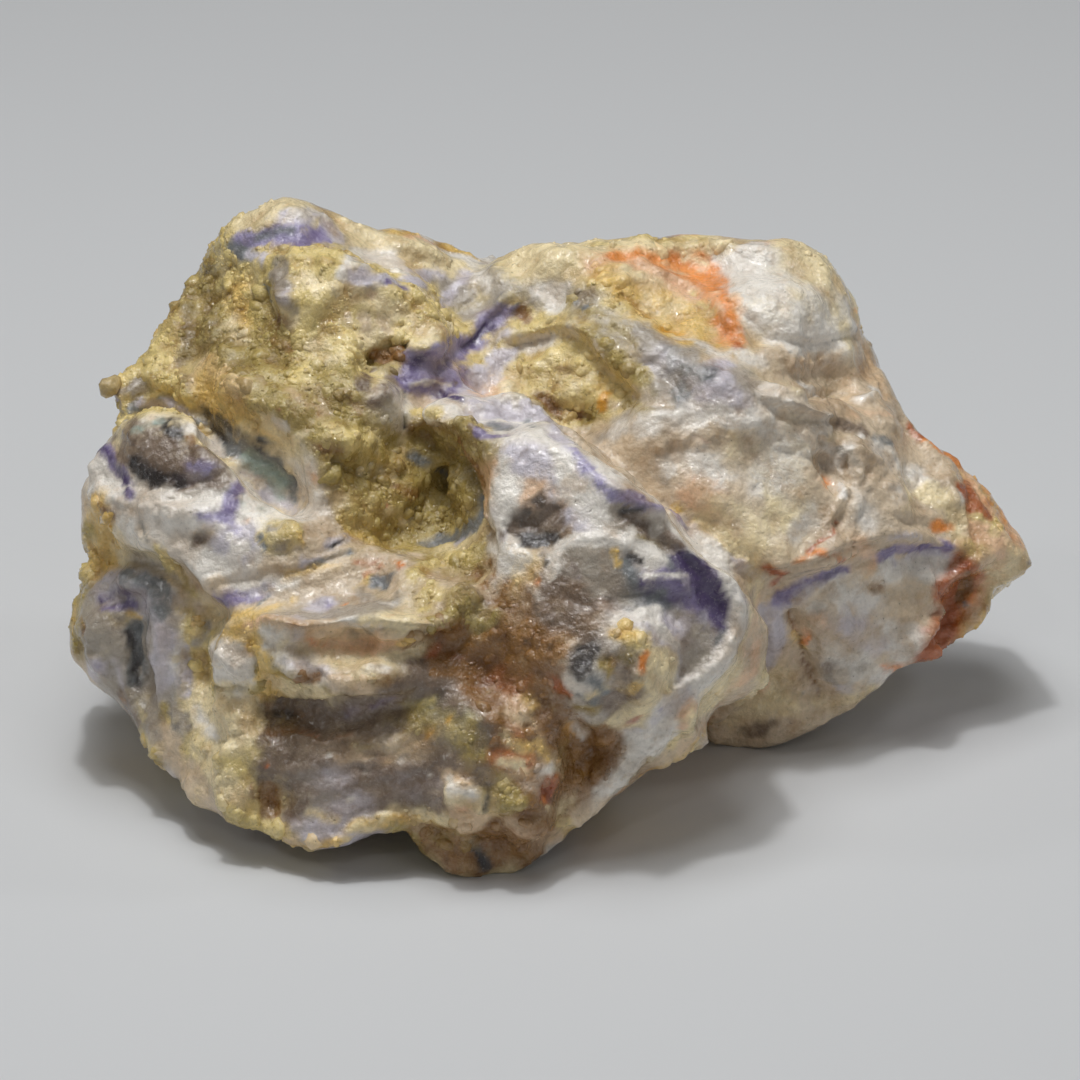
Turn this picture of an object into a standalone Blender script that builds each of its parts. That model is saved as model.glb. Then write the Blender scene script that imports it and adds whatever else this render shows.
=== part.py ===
"""A loose purple opal specimen: one stone of banded opal in a rough crust, resting on three small flats.

The stone is described as it is seen when shown with its best side to the front. A place on it is
(across, up, out) in millimetres: across and up on the display plane, which leans back by LEAN and stands
through the stone's middle, and out from that plane towards an eye EYE_MM in front of it.
"""

import math

import bmesh
import bpy
import numpy as np
from mathutils import Vector, noise
from mathutils.bvhtree import BVHTree

MM = 0.001
LEAN = math.radians(25.0)  # the display plane leans back from upright
EYE_MM = 600.0  # the eye's distance in front of the display plane
MIDDLE_MM = 24.0  # height of the display plane's own origin above the resting surface
VOXEL_MM = 0.9  # cell size in which the blocks are joined
SOFTEN_ROUNDS = 5  # smoothing that rounds the blocks into each other
BROAD_MM = 3.5  # forms at least this wide are worked in before the others
STEP_MM = 0.8  # spacing of the places along a form's path
TRIANGLES = 9200  # faces of the finished stone
FLOOR_MM = (200.0, 200.0, 20.0)  # size of the cutter that makes the resting flats
SHARP_ANGLE = math.radians(48.0)
OPAL_COLOUR = (0.62, 0.55, 0.44)
OPAL_ROUGHNESS = 0.3

ACROSS = Vector((1.0, 0.0, 0.0))
UP = Vector((0.0, math.sin(LEAN), math.cos(LEAN)))
OUT = Vector((0.0, -math.cos(LEAN), math.sin(LEAN)))
ORIGIN = Vector((0.0, 0.0, MIDDLE_MM * MM))

# The stone's main blocks. Each is the hull of a few corners, (across, up, out) in millimetres.
BLOCKS = {
    "core": [
        (-38.0, 4.0, -2), (-38.0, -10.0, 0), (-34.0, -22.0, 2), (-20.0, -25.0, 5), (-8.0, -26.0, 8),
        (4.0, -24.0, 8), (16.0, -16.0, 4), (21.0, -8.0, 2), (20.0, 4.0, 0), (8.0, 14.0, -2),
        (-6.0, 16.0, -3), (-20.0, 4.0, 3), (-24.0, -10.0, 10), (0.0, -12.0, 12), (0.0, 20.0, -28),
        (-36.0, 5.0, -26), (-34.0, -11.0, -22), (-22.0, -13.0, -25), (-14.0, -10.5, -34),
        (20.0, -9.0, -28), (10.0, -5.0, -36), (-5.0, 25.0, -11), (-5.0, 20.0, -5),
    ],
    "crown": [
        (-25.5, 34.8, -12), (-32.8, 30.0, -15), (-34.5, 26.5, -12), (-37.5, 21.5, -10), (-41.5, 17.0, -8),
        (-43.5, 14.5, -6), (-40.0, 12.0, -3), (-28.0, 8.0, 5), (-24.0, 2.0, 8), (-20.0, -1.0, 9),
        (-14.0, 2.0, 7),
        (-10.0, 15.0, 4), (-5.0, 20.0, -1), (-7.0, 28.4, -13), (-16.0, 31.5, -12),
        (-24.0, 26.0, -2), (-25.0, 14.0, 6), (-24.0, 30.0, -25), (-36.0, 18.0, -28), (-40.0, 6.0, -22),
        (-42.0, 0.0, -18), (-12.0, 26.0, -33), (-24.0, 9.0, -36), (-8.0, 7.0, -39), (-30.0, -4.0, -31),
    ],
    "left_knob": [
        (-43.0, 12.0, 0), (-45.0, 9.0, 0), (-46.2, 5.5, -2), (-46.0, 1.0, -3), (-44.0, 2.0, 3),
        (-37.0, 14.0, 1), (-30.0, 11.5, 5), (-25.0, 6.0, 8), (-38.0, 4.0, 9), (-24.0, -1.0, 12),
        (-26.0, -5.0, 14), (-35.0, -6.0, 9), (-45.0, 5.0, -18), (-40.0, -5.0, -22), (-20.0, 0.0, 2),
        (-14.0, -1.0, 9), (-14.0, -6.0, 12),
    ],
    "low_left_knob": [
        (-47.4, -11.5, -3), (-47.0, -8.0, -2), (-45.5, -2.0, -3), (-40.0, -3.0, 5), (-35.0, -4.0, 6),
        (-34.0, -9.0, 8), (-46.0, -13.0, -2), (-41.0, -17.5, 2), (-39.0, -22.0, 4), (-35.0, -24.0, 7),
        (-32.0, -15.0, 9), (-45.0, -10.0, -18), (-40.0, -16.0, -15), (-28.0, -12.0, -5),
    ],
    "shelf": [
        (-31.0, -6.0, 13), (-22.0, -3.0, 12), (-16.0, -5.0, 15), (-5.0, -1.0, 11), (-32.0, -11.0, 14),
        (-24.0, -10.5, 18), (-10.0, -9.5, 20), (-4.0, -6.0, 17), (-30.0, -12.0, -5), (0.0, -8.0, -5),
        (-28.0, 0.0, -5), (0.0, 2.0, -5), (-24.0, -12.5, 15), (-8.0, -12.0, 17), (4.0, -5.0, 16),
        (3.0, -12.0, 18),
    ],
    "front_slab": [
        (-32.0, -11.0, 12), (-25.0, -12.0, 17), (-35.5, -25.5, 8), (-34.0, -26.8, 9), (-31.0, -28.5, 11),
        (-27.5, -29.0, 13), (-25.5, -30.5, 14), (-22.0, -31.4, 14), (-19.0, -30.8, 14), (-13.0, -29.3, 15),
        (-16.0, -19.0, 19), (-8.0, -12.0, 18), (2.0, -12.0, 19), (3.0, -24.0, 20), (0.0, -28.0, 18),
        (-30.0, -20.0, -5), (5.0, -20.0, -5), (-20.0, -24.0, 0), (-30.0, -8.0, 0), (0.0, -6.0, 0),
    ],
    "chin": [
        (-12.0, -30.5, 13), (-11.5, -32.2, 13), (-9.0, -33.2, 13), (-4.0, -33.9, 12.5), (0.5, -32.8, 12),
        (3.0, -30.5, 12), (6.5, -27.0, 11), (-8.0, -28.0, 18), (0.0, -27.0, 18), (-10.0, -25.0, 2),
        (2.0, -25.0, 2), (7.0, -23.0, 3),
    ],
    "nose": [
        (-13.0, 15.0, 4), (-4.0, 19.0, 1), (-12.0, 13.5, 7), (-6.0, 11.0, 11), (-4.6, 3.0, 14),
        (2.0, 8.5, 13), (8.0, 5.5, 15), (14.0, 0.5, 16), (19.0, -4.5, 14), (22.5, -8.0, 9),
        (22.5, -15.0, 6), (20.0, -12.0, 13), (12.0, -10.0, 20), (-4.0, -3.0, 17), (4.0, -4.0, 19),
        (16.0, -19.5, 8), (11.0, -23.5, 10), (5.0, -27.5, 13), (10.0, -16.0, 19), (3.0, -14.0, 21),
        (15.0, -5.0, -10), (0.0, 10.0, -10), (10.0, -18.0, -5), (-6.0, -6.0, 8), (-4.0, -12.0, 10),
        (0.0, -20.0, 10),
    ],
    "dome": [
        (-4.0, 29.0, -16), (0.0, 29.7, -15), (6.0, 30.0, -15), (13.0, 30.9, -18), (20.0, 30.2, -16),
        (25.0, 30.2, -17), (27.5, 29.2, -18), (29.5, 27.5, -18), (31.0, 25.0, -18), (33.5, 19.5, -18),
        (36.5, 12.5, -16), (39.0, 9.5, -15), (26.0, 20.0, -7), (28.0, 12.0, -3), (30.0, 5.0, -2),
        (15.0, 12.0, 1), (10.0, 8.0, 2), (22.0, 0.0, 4), (34.0, 0.0, -4), (40.0, 2.0, -8),
        (35.0, -4.0, -4), (25.0, -5.5, 2), (4.0, 26.0, -32), (22.0, 23.0, -37), (33.0, 14.0, -29),
        (36.0, 2.0, -31), (12.0, 7.0, -41), (30.0, -6.0, -28), (0.0, -4.0, -35), (-4.0, 19.0, -5),
        (4.0, 19.0, -2),
        (12.0, 18.0, -1), (18.0, 15.0, 1),
    ],
    "low_right": [
        (38.0, -8.0, -8), (38.0, -12.8, -9), (34.0, -15.0, -9), (31.0, -17.2, -9), (28.0, -18.7, -9.5),
        (24.0, -19.8, -11), (20.0, -21.0, -12), (16.5, -21.0, -12), (25.0, -6.0, -1), (35.0, -5.0, -6),
        (14.0, -8.0, 0), (30.0, -6.0, -27), (15.0, -9.5, -28), (5.0, -9.5, -28), (36.0, 2.0, -8),
        (20.0, 2.0, -2), (20.0, -17.0, -18),
    ],
    "snout": [
        (39.0, 9.5, -15), (41.5, 8.8, -16), (43.5, 6.5, -15), (46.0, 4.0, -14), (47.5, 1.5, -14),
        (49.0, -1.0, -14), (49.5, -3.0, -14), (48.0, -4.3, -13), (46.0, -5.5, -13), (45.0, -7.5, -13),
        (43.5, -9.5, -12), (41.0, -11.5, -11), (38.0, -12.5, -10), (42.0, -2.0, -7), (40.0, 2.0, -8),
        (45.0, 2.0, -26), (44.0, -6.0, -24), (34.0, 5.0, -30), (30.0, -5.0, -20), (33.0, 0.0, -8),
    ],
    "back_ridge": [
        (-16.0, 31.5, -22), (-14.0, 31.3, -25), (-11.0, 30.5, -27), (-6.0, 28.4, -28), (0.0, 27.0, -26),
        (-20.0, 20.0, -33), (0.0, 15.0, -38), (-20.0, 5.0, -33), (5.0, 5.0, -37), (4.0, 26.0, -24),
        (-8.0, 26.0, -10), (0.0, 24.0, -10), (-12.0, -3.0, -34), (4.0, -4.0, -34),
    ],
}


# The stone's edge as the eye sees it, (across, up), clockwise from the left.
OUTLINE = [
    (-47.4, -11.5), (-47.0, -8.0), (-46.2, -5.0), (-45.5, -2.0), (-46.0, 1.0), (-46.2, 5.0), (-44.8, 8.5),
    (-42.2, 12.2), (-43.5, 14.5), (-41.5, 17.0), (-39.0, 19.5), (-36.0, 24.0), (-34.5, 26.5), (-32.8, 30.0),
    (-30.0, 32.5), (-27.8, 33.7), (-25.0, 34.7), (-22.0, 34.0), (-19.5, 32.8), (-16.5, 31.5), (-14.0, 31.3),
    (-11.0, 30.5), (-8.5, 29.5), (-6.0, 28.4), (-4.0, 29.0), (0.0, 29.7), (6.0, 30.0), (13.0, 30.9),
    (20.0, 30.2), (25.0, 30.2), (27.5, 29.2), (29.5, 27.5), (31.0, 25.0), (32.2, 22.0), (33.5, 19.5),
    (35.0, 16.0), (36.5, 12.5), (39.0, 9.5), (41.5, 8.8), (43.5, 6.5), (46.0, 4.0), (47.5, 1.5),
    (49.0, -1.0), (49.5, -3.0), (48.0, -4.3), (46.0, -5.5), (45.0, -7.5), (43.5, -9.5), (41.0, -11.5),
    (38.0, -12.5), (36.5, -12.8), (34.0, -15.0), (31.0, -17.2), (28.0, -18.7), (24.0, -19.8), (16.5, -21.0),
    (11.0, -23.5), (5.0, -27.5), (3.0, -30.5), (0.5, -32.8), (-4.0, -33.8), (-9.0, -33.2), (-11.5, -32.2),
    (-13.0, -29.3), (-15.5, -29.2), (-19.0, -30.8), (-22.0, -31.4), (-25.5, -30.5), (-27.5, -29.0),
    (-31.0, -28.5), (-34.0, -26.8), (-35.5, -25.5), (-37.0, -23.5), (-39.0, -22.0), (-39.5, -20.0),
    (-41.0, -17.5), (-44.0, -15.0), (-46.0, -13.0),
]

# Forms shaped into the joined blocks, each (look, kind, path, half width, push), lengths in millimetres. The
# path runs over the stone in (across, up) of its look. "swell" moves the skin out by push, or in where push
# is negative. "ledge" lifts the skin to the left of its path by push and sinks it by as much to the right.
# "flat" draws the skin towards one plane, by push as a share.
FORMS = {
    # broad faces left by old breaks
    "face crown": ("front", "flat", [(-27, 20), (-22, 12)], 9.0, 0.6),
    "face crown left": ("front", "flat", [(-36, 20), (-33, 25)], 6.0, 0.8),
    "face dome": ("front", "flat", [(12, 7), (20, 5), (26, 2)], 9.5, 0.9),
    "face dome right": ("front", "flat", [(33, 9), (35, 2)], 7.0, 0.8),
    "face white": ("front", "flat", [(22, 25), (28, 23)], 6.5, 0.9),
    "face low right": ("front", "flat", [(28, -8), (32, -12)], 8.0, 0.7),
    "face snout": ("front", "flat", [(43, 4), (46, 0)], 6.0, 0.9),
    "face slab": ("front", "flat", [(-24, -23), (-8, -21)], 8.0, 0.8),
    "face nose": ("front", "flat", [(8, -4), (14, -8)], 7.5, 0.8),
    "face lens": ("front", "flat", [(-38, 9), (-34, 8)], 5.0, 0.6),
    "face left": ("left", "flat", [(-14, 4), (-6, 2)], 12.0, 0.8),
    "face left top": ("left", "flat", [(-26, 20), (-18, 26)], 9.0, 0.8),
    "face right": ("right", "flat", [(22, 6), (28, 2)], 12.0, 0.7),
    "face back": ("back", "flat", [(-20, 4), (-10, 6)], 13.0, 0.8),
    "face back right": ("back", "flat", [(22, 6), (30, 4)], 12.0, 0.8),
    "face back low": ("back", "flat", [(0, -12), (12, -12)], 10.0, 0.6),
    # crown
    "crown brow": ("front", "swell", [(-30, 24), (-24, 25), (-17, 24)], 5.5, 1.4),
    "crown left edge": ("front", "ledge", [(-36.5, 14.5), (-34.5, 18), (-34.5, 22), (-32, 27)], 4.0, -0.9),
    "crown cheek": ("front", "swell", [(-27, 12), (-22, 9)], 6.0, 1.0),
    "crown lump low": ("front", "swell", [(-24, 11), (-20, 9)], 3.5, 1.2),
    "crown grey nodule": ("front", "swell", [(-25.5, 26), (-25.5, 22.5)], 2.2, 1.2),
    "crown lump right": ("front", "swell", [(-15, 24), (-11, 23)], 3.6, 1.5),
    "crown lump far right": ("front", "swell", [(-10, 20), (-12, 18)], 3.2, 1.3),
    "crown lump middle": ("front", "swell", [(-19, 19), (-21, 16)], 3.2, 1.1),
    "crown dip": ("front", "swell", [(-16, 20.5), (-19, 22.5)], 2.4, -1.1),
    "crown saddle": ("front", "swell", [(-8, 26.5), (-6, 23), (-5, 21)], 3.5, -1.3),
    "crown pit": ("front", "swell", [(-17, 18), (-14, 17.5)], 2.4, -3.0),
    "crown nub": ("front", "swell", [(-14.8, 15), (-15.2, 13.6)], 2.3, 1.5),
    # between crown and nose
    "purple hollow": ("front", "swell", [(-5, 20), (-8, 18), (-11, 16), (-12, 15)], 4.0, -2.6),
    "purple hollow floor": ("front", "swell", [(-11, 14), (-7, 13.5)], 2.5, -2.0),
    "olive hollow": ("front", "swell", [(-15, 8), (-11, 7), (-9, 3.5)], 6.0, -3.6),
    "olive slope": ("front", "swell", [(-23, 8), (-20, 3)], 4.5, -0.9),
    "olive hollow throat": ("front", "swell", [(-12.5, 10), (-10, 8), (-8, 5)], 4.0, -3.2),
    "olive hollow foot": ("front", "swell", [(-17, 1.5), (-9.5, 1)], 3.5, -1.8),
    "crust toe": ("front", "swell", [(-24, 7), (-21, 3.5)], 3.4, 1.0),
    "nose wall": ("front", "ledge", [(-4.6, 1), (-4.8, 7), (-8, 12)], 3.6, -1.6),
    # left knob
    "knob groove": ("front", "swell", [(-38.5, 14.5), (-35, 13.5), (-30.5, 10.3), (-25.5, 6.5)], 3.0, -5.5),
    "knob groove end": ("front", "swell", [(-28, 8.5), (-25, 6), (-24.5, 4)], 3.2, -2.2),
    "knob lens": ("front", "swell", [(-40, 9.5), (-35, 9), (-32, 8)], 5.0, 1.8),
    "knob lens crease": ("front", "swell", [(-44, 6.5), (-40, 5.3), (-35, 4.7), (-31.5, 5.4)], 1.8, -1.2),
    "knob white fold": ("front", "swell", [(-44, 3.5), (-40, 3), (-33, 3.2), (-29, 5)], 2.2, 1.1),
    "knob cloth fold": ("front", "swell", [(-39, 0.5), (-35, -2.5), (-32, -5.5)], 2.4, 0.9),
    "knob cloth crease": ("front", "swell", [(-36, 0.8), (-32.5, -2), (-30, -5)], 1.8, -1.0),
    "knob amber nodule": ("front", "swell", [(-27, 0.5), (-25, -1)], 2.6, 0.9),
    "knob far crust": ("front", "swell", [(-44.5, 1.5), (-43.5, -1.5), (-44, -3.5)], 3.2, -2.2),
    # low left knob
    "low knob neck": ("front", "swell", [(-43, -1.5), (-39, -3), (-35.5, -4.5), (-33.8, -8), (-34.5, -14)],
                      2.6, -2.2),
    "low knob lip": ("front", "swell", [(-45, -3.6), (-41, -4.2), (-37, -5.8), (-35.8, -9)], 2.2, 1.2),
    "low knob eye": ("front", "swell", [(-43.5, -5.8), (-40.5, -6.2)], 2.2, -1.4),
    "low knob slot": ("front", "swell", [(-40.6, -8.5), (-40.6, -12), (-40.2, -15.5)], 2.2, -2.2),
    "low knob swell": ("front", "swell", [(-44, -9), (-44, -12)], 2.6, 0.9),
    # shelf and the slab under it
    "shelf top": ("front", "swell", [(-27, -4), (-20, -4), (-10, -4)], 5.0, -1.5),
    "shelf ring": ("front", "swell", [(-16.8, -4.4)], 2.6, -1.0),
    "shelf cream lump": ("front", "swell", [(-11.5, -3.5), (-8, -5.5)], 4.0, 1.8),
    "shelf left lump": ("front", "swell", [(-28, -8.5), (-24, -9)], 3.4, 1.2),
    "shelf brow": ("front", "ledge", [(-9, -9.2), (-14, -10.8), (-18, -9.4), (-23, -10.6), (-28, -8.6)],
                   4.2, -1.5),
    "shelf groove": ("front", "swell", [(-22, -11.6), (-17, -10.4), (-13, -11.8), (-9, -10.4)], 2.2, -1.8),
    "lower bulge": ("front", "swell", [(-26, -13), (-20, -13.4), (-15, -13.5)], 3.4, 2.0),
    "dark band": ("front", "swell", [(-27, -16.5), (-20, -17.5), (-12, -16.5), (-6, -14)], 3.8, -2.2),
    "slab hollow": ("front", "swell", [(-24, -22), (-12, -21)], 6.0, -0.9),
    "slab rim": ("front", "swell", [(-28, -28.6), (-22, -30), (-15, -28.6)], 2.2, 1.4),
    "slab hole": ("front", "swell", [(-26.8, -25.5), (-26.8, -27.5)], 1.9, -2.4),
    "white bulge": ("front", "swell", [(-32, -11), (-31.5, -14)], 3.2, 1.8),
    "edge lump high": ("front", "swell", [(-31.5, -17.5), (-30, -19.5)], 3.4, 1.4),
    "edge lump low": ("front", "swell", [(-31, -23), (-29.5, -26)], 3.6, 1.6),
    "edge step": ("front", "ledge", [(-27.4, -14), (-27.2, -19), (-27.0, -26)], 3.0, -1.2),
    "edge crease": ("front", "swell", [(-33, -16), (-32.5, -20.5), (-34, -23)], 1.8, -1.0),
    # chin and the rough ground right of the slab
    "cream lump": ("front", "swell", [(-7.6, -25.4), (-8, -26.6)], 2.9, 1.8),
    "peach lump": ("front", "swell", [(-3, -24.8), (-2, -26)], 2.8, 1.1),
    "chin undercut": ("front", "swell", [(-11.5, -28.6), (-6, -29.2), (1, -29)], 2.4, -1.4),
    "slab undercut": ("front", "swell", [(-14, -30), (-17, -31)], 2.6, -1.6),
    "rough ground": ("front", "swell", [(-6, -11), (-1, -16), (3, -22)], 5.5, -1.7),
    "rough ground pit": ("front", "swell", [(3, -19.5), (5, -22)], 2.8, -1.2),
    "red spot": ("front", "swell", [(1, -25.4)], 1.8, -0.9),
    "rough lump": ("front", "swell", [(-3, -18.5), (0, -20)], 2.8, 1.1),
    # nose
    "nose crest": ("front", "swell", [(-9, 12.5), (-2, 9), (4, 7), (9, 4.5)], 3.6, 1.4),
    "nose white patch": ("front", "swell", [(-4.5, 18), (-4, 16)], 2.4, 1.0),
    "nose pebble": ("front", "swell", [(-3, 15.6)], 2.0, 1.0),
    "nose dark lens": ("front", "swell", [(-2, 2), (1, 1)], 3.0, -1.6),
    "nose lens": ("front", "swell", [(6, -4), (11, -6.5), (15, -9)], 5.5, -1.6),
    "nose blue face": ("front", "swell", [(13, -6), (17, -7)], 3.4, -0.9),
    "nose rim": ("front", "swell", [(7, 4.5), (12, 2.8), (17, -1.5), (19.4, -6), (18.8, -11), (14.5, -16.5)],
                 2.6, 1.7),
    "rim low": ("front", "swell", [(14.5, -16.5), (9.5, -21), (4.5, -25.5)], 3.0, 1.2),
    "rim outer": ("front", "swell", [(20, -5), (22, -9.5), (21.8, -14)], 2.4, 0.9),
    "nose yellow lump": ("front", "swell", [(9, -9.5), (10, -15)], 3.2, 1.4),
    "nose white crackle": ("front", "swell", [(11, -8.5), (13.5, -10)], 2.6, 0.9),
    "nose low dip": ("front", "swell", [(7, -15), (8.5, -19)], 2.8, -1.3),
    "nose back groove": ("front", "swell", [(-2, 14), (3, 12.3), (7.5, 9), (12, 5), (17, 1.2)], 2.8, -2.2),
    # dome
    "dome sandy hollow": ("front", "swell", [(0, 19), (4, 17.5), (8, 15.5)], 5.2, -2.8),
    "dome under ledge": ("front", "swell", [(0, 13.5), (5, 13)], 2.6, -2.6),
    "dome sandy lump": ("front", "swell", [(2, 16.5), (6, 14.8)], 2.8, 1.2),
    "dome green band": ("front", "swell", [(5, 21), (9, 17.5), (11, 14.5)], 2.8, 1.2),
    "dome top lump": ("front", "swell", [(0, 27), (6, 26)], 4.2, 1.2),
    "dome stain ridge": ("front", "swell", [(7, 27), (13, 26), (18, 22)], 3.6, 0.9),
    "dome rim": ("front", "swell", [(6, 24.5), (11, 20), (17, 16.5), (21, 13)], 3.4, 1.3),
    "dome rim spot": ("front", "swell", [(16.8, 16.6)], 2.0, -1.2),
    "dome smooth dip": ("front", "swell", [(9, 9), (13, 7.5)], 4.0, -1.4),
    "dome white face": ("front", "swell", [(21, 25.5), (27, 23)], 5.0, 1.2),
    "dome white ledge": ("front", "ledge", [(31.5, 20.5), (27, 19.6), (22.5, 20)], 3.2, 1.4),
    "dome fracture": ("front", "swell", [(23, 17), (29, 17.5), (33, 15)], 3.4, -1.4),
    "dome shards": ("front", "swell", [(23.5, 15), (28.5, 11.8)], 2.4, 1.2),
    "dome notch": ("front", "swell", [(28.5, 9), (30, 6)], 2.4, -2.4),
    "dome face left": ("front", "swell", [(14, 5), (18, 3)], 4.0, 0.7),
    "dome facet": ("front", "ledge", [(31, 9), (30, 4), (27, -1)], 3.8, 0.9),
    "dome right lump": ("front", "swell", [(34, 8), (35.5, 4)], 3.4, 1.1),
    "dome right crease": ("front", "swell", [(37, 12), (37.5, 8), (38.5, 4)], 2.2, -1.4),
    # low right and snout
    "face edge": ("front", "ledge", [(22, -5.2), (28, -3.5), (34, -1.7), (40, -1.2)], 3.4, 1.3),
    "low groove": ("front", "swell", [(23.5, -5.6), (29, -4), (34, -2.2), (39, -1.6)], 1.9, -1.3),
    "low spot": ("front", "swell", [(33, -4.4)], 2.0, -0.9),
    "low crack": ("front", "swell", [(24.7, -7), (26, -12), (28.5, -17)], 1.7, -1.2),
    "low swell": ("front", "swell", [(29, -8), (31, -13)], 4.0, 1.1),
    "low swell right": ("front", "swell", [(36, -6), (37, -10)], 3.4, 0.9),
    "low left dip": ("front", "swell", [(24, -14), (21, -18)], 2.6, -1.2),
    "snout ridge": ("front", "swell", [(41, 6), (45, 1), (48.5, -2.6)], 3.0, 1.0),
    "snout streak": ("front", "swell", [(42, 5), (44, 2)], 1.9, -1.0),
    "snout cavity": ("front", "swell", [(45.5, -4.5), (43, -7), (40, -11)], 3.6, -3.0),
    "snout upper dip": ("front", "swell", [(38.5, 1), (42, -1)], 2.6, -1.0),
    # top
    "top valley": ("top", "swell", [(-6, -14), (-4, -4), (-6, 8), (-9, 20)], 5.0, -2.2),
    "top crown knob": ("top", "swell", [(-24, 6), (-20, 10)], 6.0, 1.6),
    "top dome hollow": ("top", "swell", [(12, 12), (20, 16)], 6.5, -1.6),
    "top dome lump": ("top", "swell", [(24, 4), (26, 10)], 5.0, 1.4),
    "top ledge": ("top", "ledge", [(-2, 14), (8, 20), (20, 24)], 5.0, 1.3),
    # left side, seen with the front to the right
    "left shelf": ("left", "ledge", [(-20, 14), (-8, 16), (6, 12)], 5.5, 1.5),
    "left hollow": ("left", "swell", [(-16, 2), (-8, 0)], 7.0, -2.4),
    "left lump": ("left", "swell", [(-22, 20), (-16, 24)], 5.5, 1.7),
    "left groove": ("left", "swell", [(-24, 8), (-14, 10), (-2, 6), (4, 0)], 3.0, -1.9),
    "left low swell": ("left", "swell", [(-20, -12), (-10, -14)], 6.0, 1.5),
    # right side, seen with the front to the left
    "right ledge": ("right", "ledge", [(26, 10), (16, 8), (6, 12)], 5.5, 1.5),
    "right hollow": ("right", "swell", [(20, 0), (26, -6)], 7.0, -2.2),
    "right lump": ("right", "swell", [(14, 18), (22, 16)], 5.5, 1.6),
    "right groove": ("right", "swell", [(4, 4), (14, 0), (24, 4), (32, 2)], 2.8, -1.8),
    "right low swell": ("right", "swell", [(14, -12), (24, -14)], 6.0, 1.4),
    # back
    "back hollow": ("back", "swell", [(-14, 4), (-6, 2)], 9.0, -3.0),
    "back cleft": ("back", "swell", [(6, 24), (4, 12), (7, 0), (4, -12)], 3.6, -3.0),
    "back left brow": ("back", "swell", [(-34, 10), (-26, 16), (-16, 15)], 6.0, 2.0),
    "back ledge": ("back", "ledge", [(34, 8), (24, 4), (14, 6)], 6.0, 1.8),
    "back right hollow": ("back", "swell", [(24, -6), (30, -2)], 7.0, -2.2),
    "back right lump": ("back", "swell", [(20, 18), (26, 14)], 6.0, 1.8),
    "back low lump": ("back", "swell", [(-24, -10), (-14, -12)], 6.0, 1.8),
    "back crease": ("back", "swell", [(-36, 0), (-26, -4), (-14, -6), (-4, -4)], 2.6, -1.8),
}

# Looks other than the front: (turn about the upright axis, lift), in degrees, from far away.
LOOKS = {"left": (-90.0, 0.0), "right": (90.0, 0.0), "back": (180.0, 10.0), "top": (0.0, 90.0)}
LOOK_MIDDLE_MM = (0.0, 4.0, 24.0)
FAR_MM = 300.0

# Places where the opal itself shows, smoother than the crust: (look, path, half width).
CALM = [
    ("front", [(-40, 9), (-33, 8)], 6.0),
    ("front", [(-43, 3), (-30, 0), (-26, -4)], 5.0),
    ("front", [(-3, 10), (6, 6), (14, 0), (19, -6)], 6.0),
    ("front", [(6, -4), (14, -8)], 7.0),
    ("front", [(10, 10), (18, 5), (26, 3)], 9.0),
    ("front", [(22, 25), (28, 23)], 7.0),
    ("front", [(20, -8), (19, -14)], 5.0),
    ("front", [(28, -8), (33, -12)], 8.0),
    ("front", [(44, 4), (47, 0)], 6.0),
    ("front", [(-22, -24), (-8, -22)], 7.0),
    ("left", [(-14, 4), (-6, 2)], 11.0),
    ("back", [(-20, 4), (-8, 6)], 12.0),
    ("back", [(22, 6), (30, 4)], 10.0),
]
CALM_SHARE = 0.6

# Where the stone rests: (x, y, half width of the lobe) on the floor.
RESTS = [(-5.0, -26.5, 9.0), (21.0, 3.5, 10.0), (-15.0, 26.0, 10.0)]
CLEAR_MM = 1.6  # the rest of the underside stands at least this far off the floor
LOBE_MM = 14.0  # height up to which a lobe draws the skin down
SINK_MM = 0.7  # how far each lobe is cut into

# Rough relief: (size of the lumps, height) in millimetres, and a seed for each.
RELIEF = [(15.0, 1.5, 3), (8.0, 1.1, 11), (4.5, 0.7, 23)]
CHIP_MM, CHIP_DEPTH_MM = 7.5, 1.2
BACK_RELIEF = (21.0, 4.5, 5)  # added on the sides away from the eye
BACK_OUT_MM, BACK_BLEND_MM = -10.0, 12.0  # where that relief starts, and the depth over which it grows


def place(across, up, out):
    """The point seen at (across, up) on the display plane, out millimetres nearer to the eye than it."""
    share = (EYE_MM - out) / EYE_MM
    return ORIGIN + (ACROSS * across * share + UP * up * share + OUT * out) * MM


def clear_scene():
    for old in list(bpy.data.objects):
        bpy.data.objects.remove(old, do_unlink=True)


def add_object(name, mesh):
    made = bpy.data.objects.new(name, mesh)
    bpy.context.scene.collection.objects.link(made)
    return made


def join_blocks():
    """All blocks as one closed skin: their hulls in one mesh, remeshed as a single volume."""
    shape = bmesh.new()
    for corners in BLOCKS.values():
        points = [shape.verts.new(place(*corner)) for corner in corners]
        made = bmesh.ops.convex_hull(shape, input=points)
        inner = set(made["geom_interior"]) | set(made["geom_unused"])
        bmesh.ops.delete(shape, geom=[g for g in inner if isinstance(g, bmesh.types.BMVert)], context="VERTS")
    mesh = bpy.data.meshes.new("blocks")
    shape.to_mesh(mesh)
    shape.free()
    blocks = add_object("blocks", mesh)
    joined = blocks.modifiers.new("join", "REMESH")
    joined.mode = "VOXEL"
    joined.voxel_size = VOXEL_MM * MM
    graph = bpy.context.evaluated_depsgraph_get()
    skin = bpy.data.meshes.new_from_object(blocks.evaluated_get(graph))
    bpy.data.objects.remove(blocks, do_unlink=True)
    return skin


def points_of(mesh):
    flat = np.empty(len(mesh.vertices) * 3)
    mesh.vertices.foreach_get("co", flat)
    return flat.reshape(-1, 3) / MM


def set_points(mesh, points):
    mesh.vertices.foreach_set("co", (points * MM).ravel())
    mesh.update()


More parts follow.
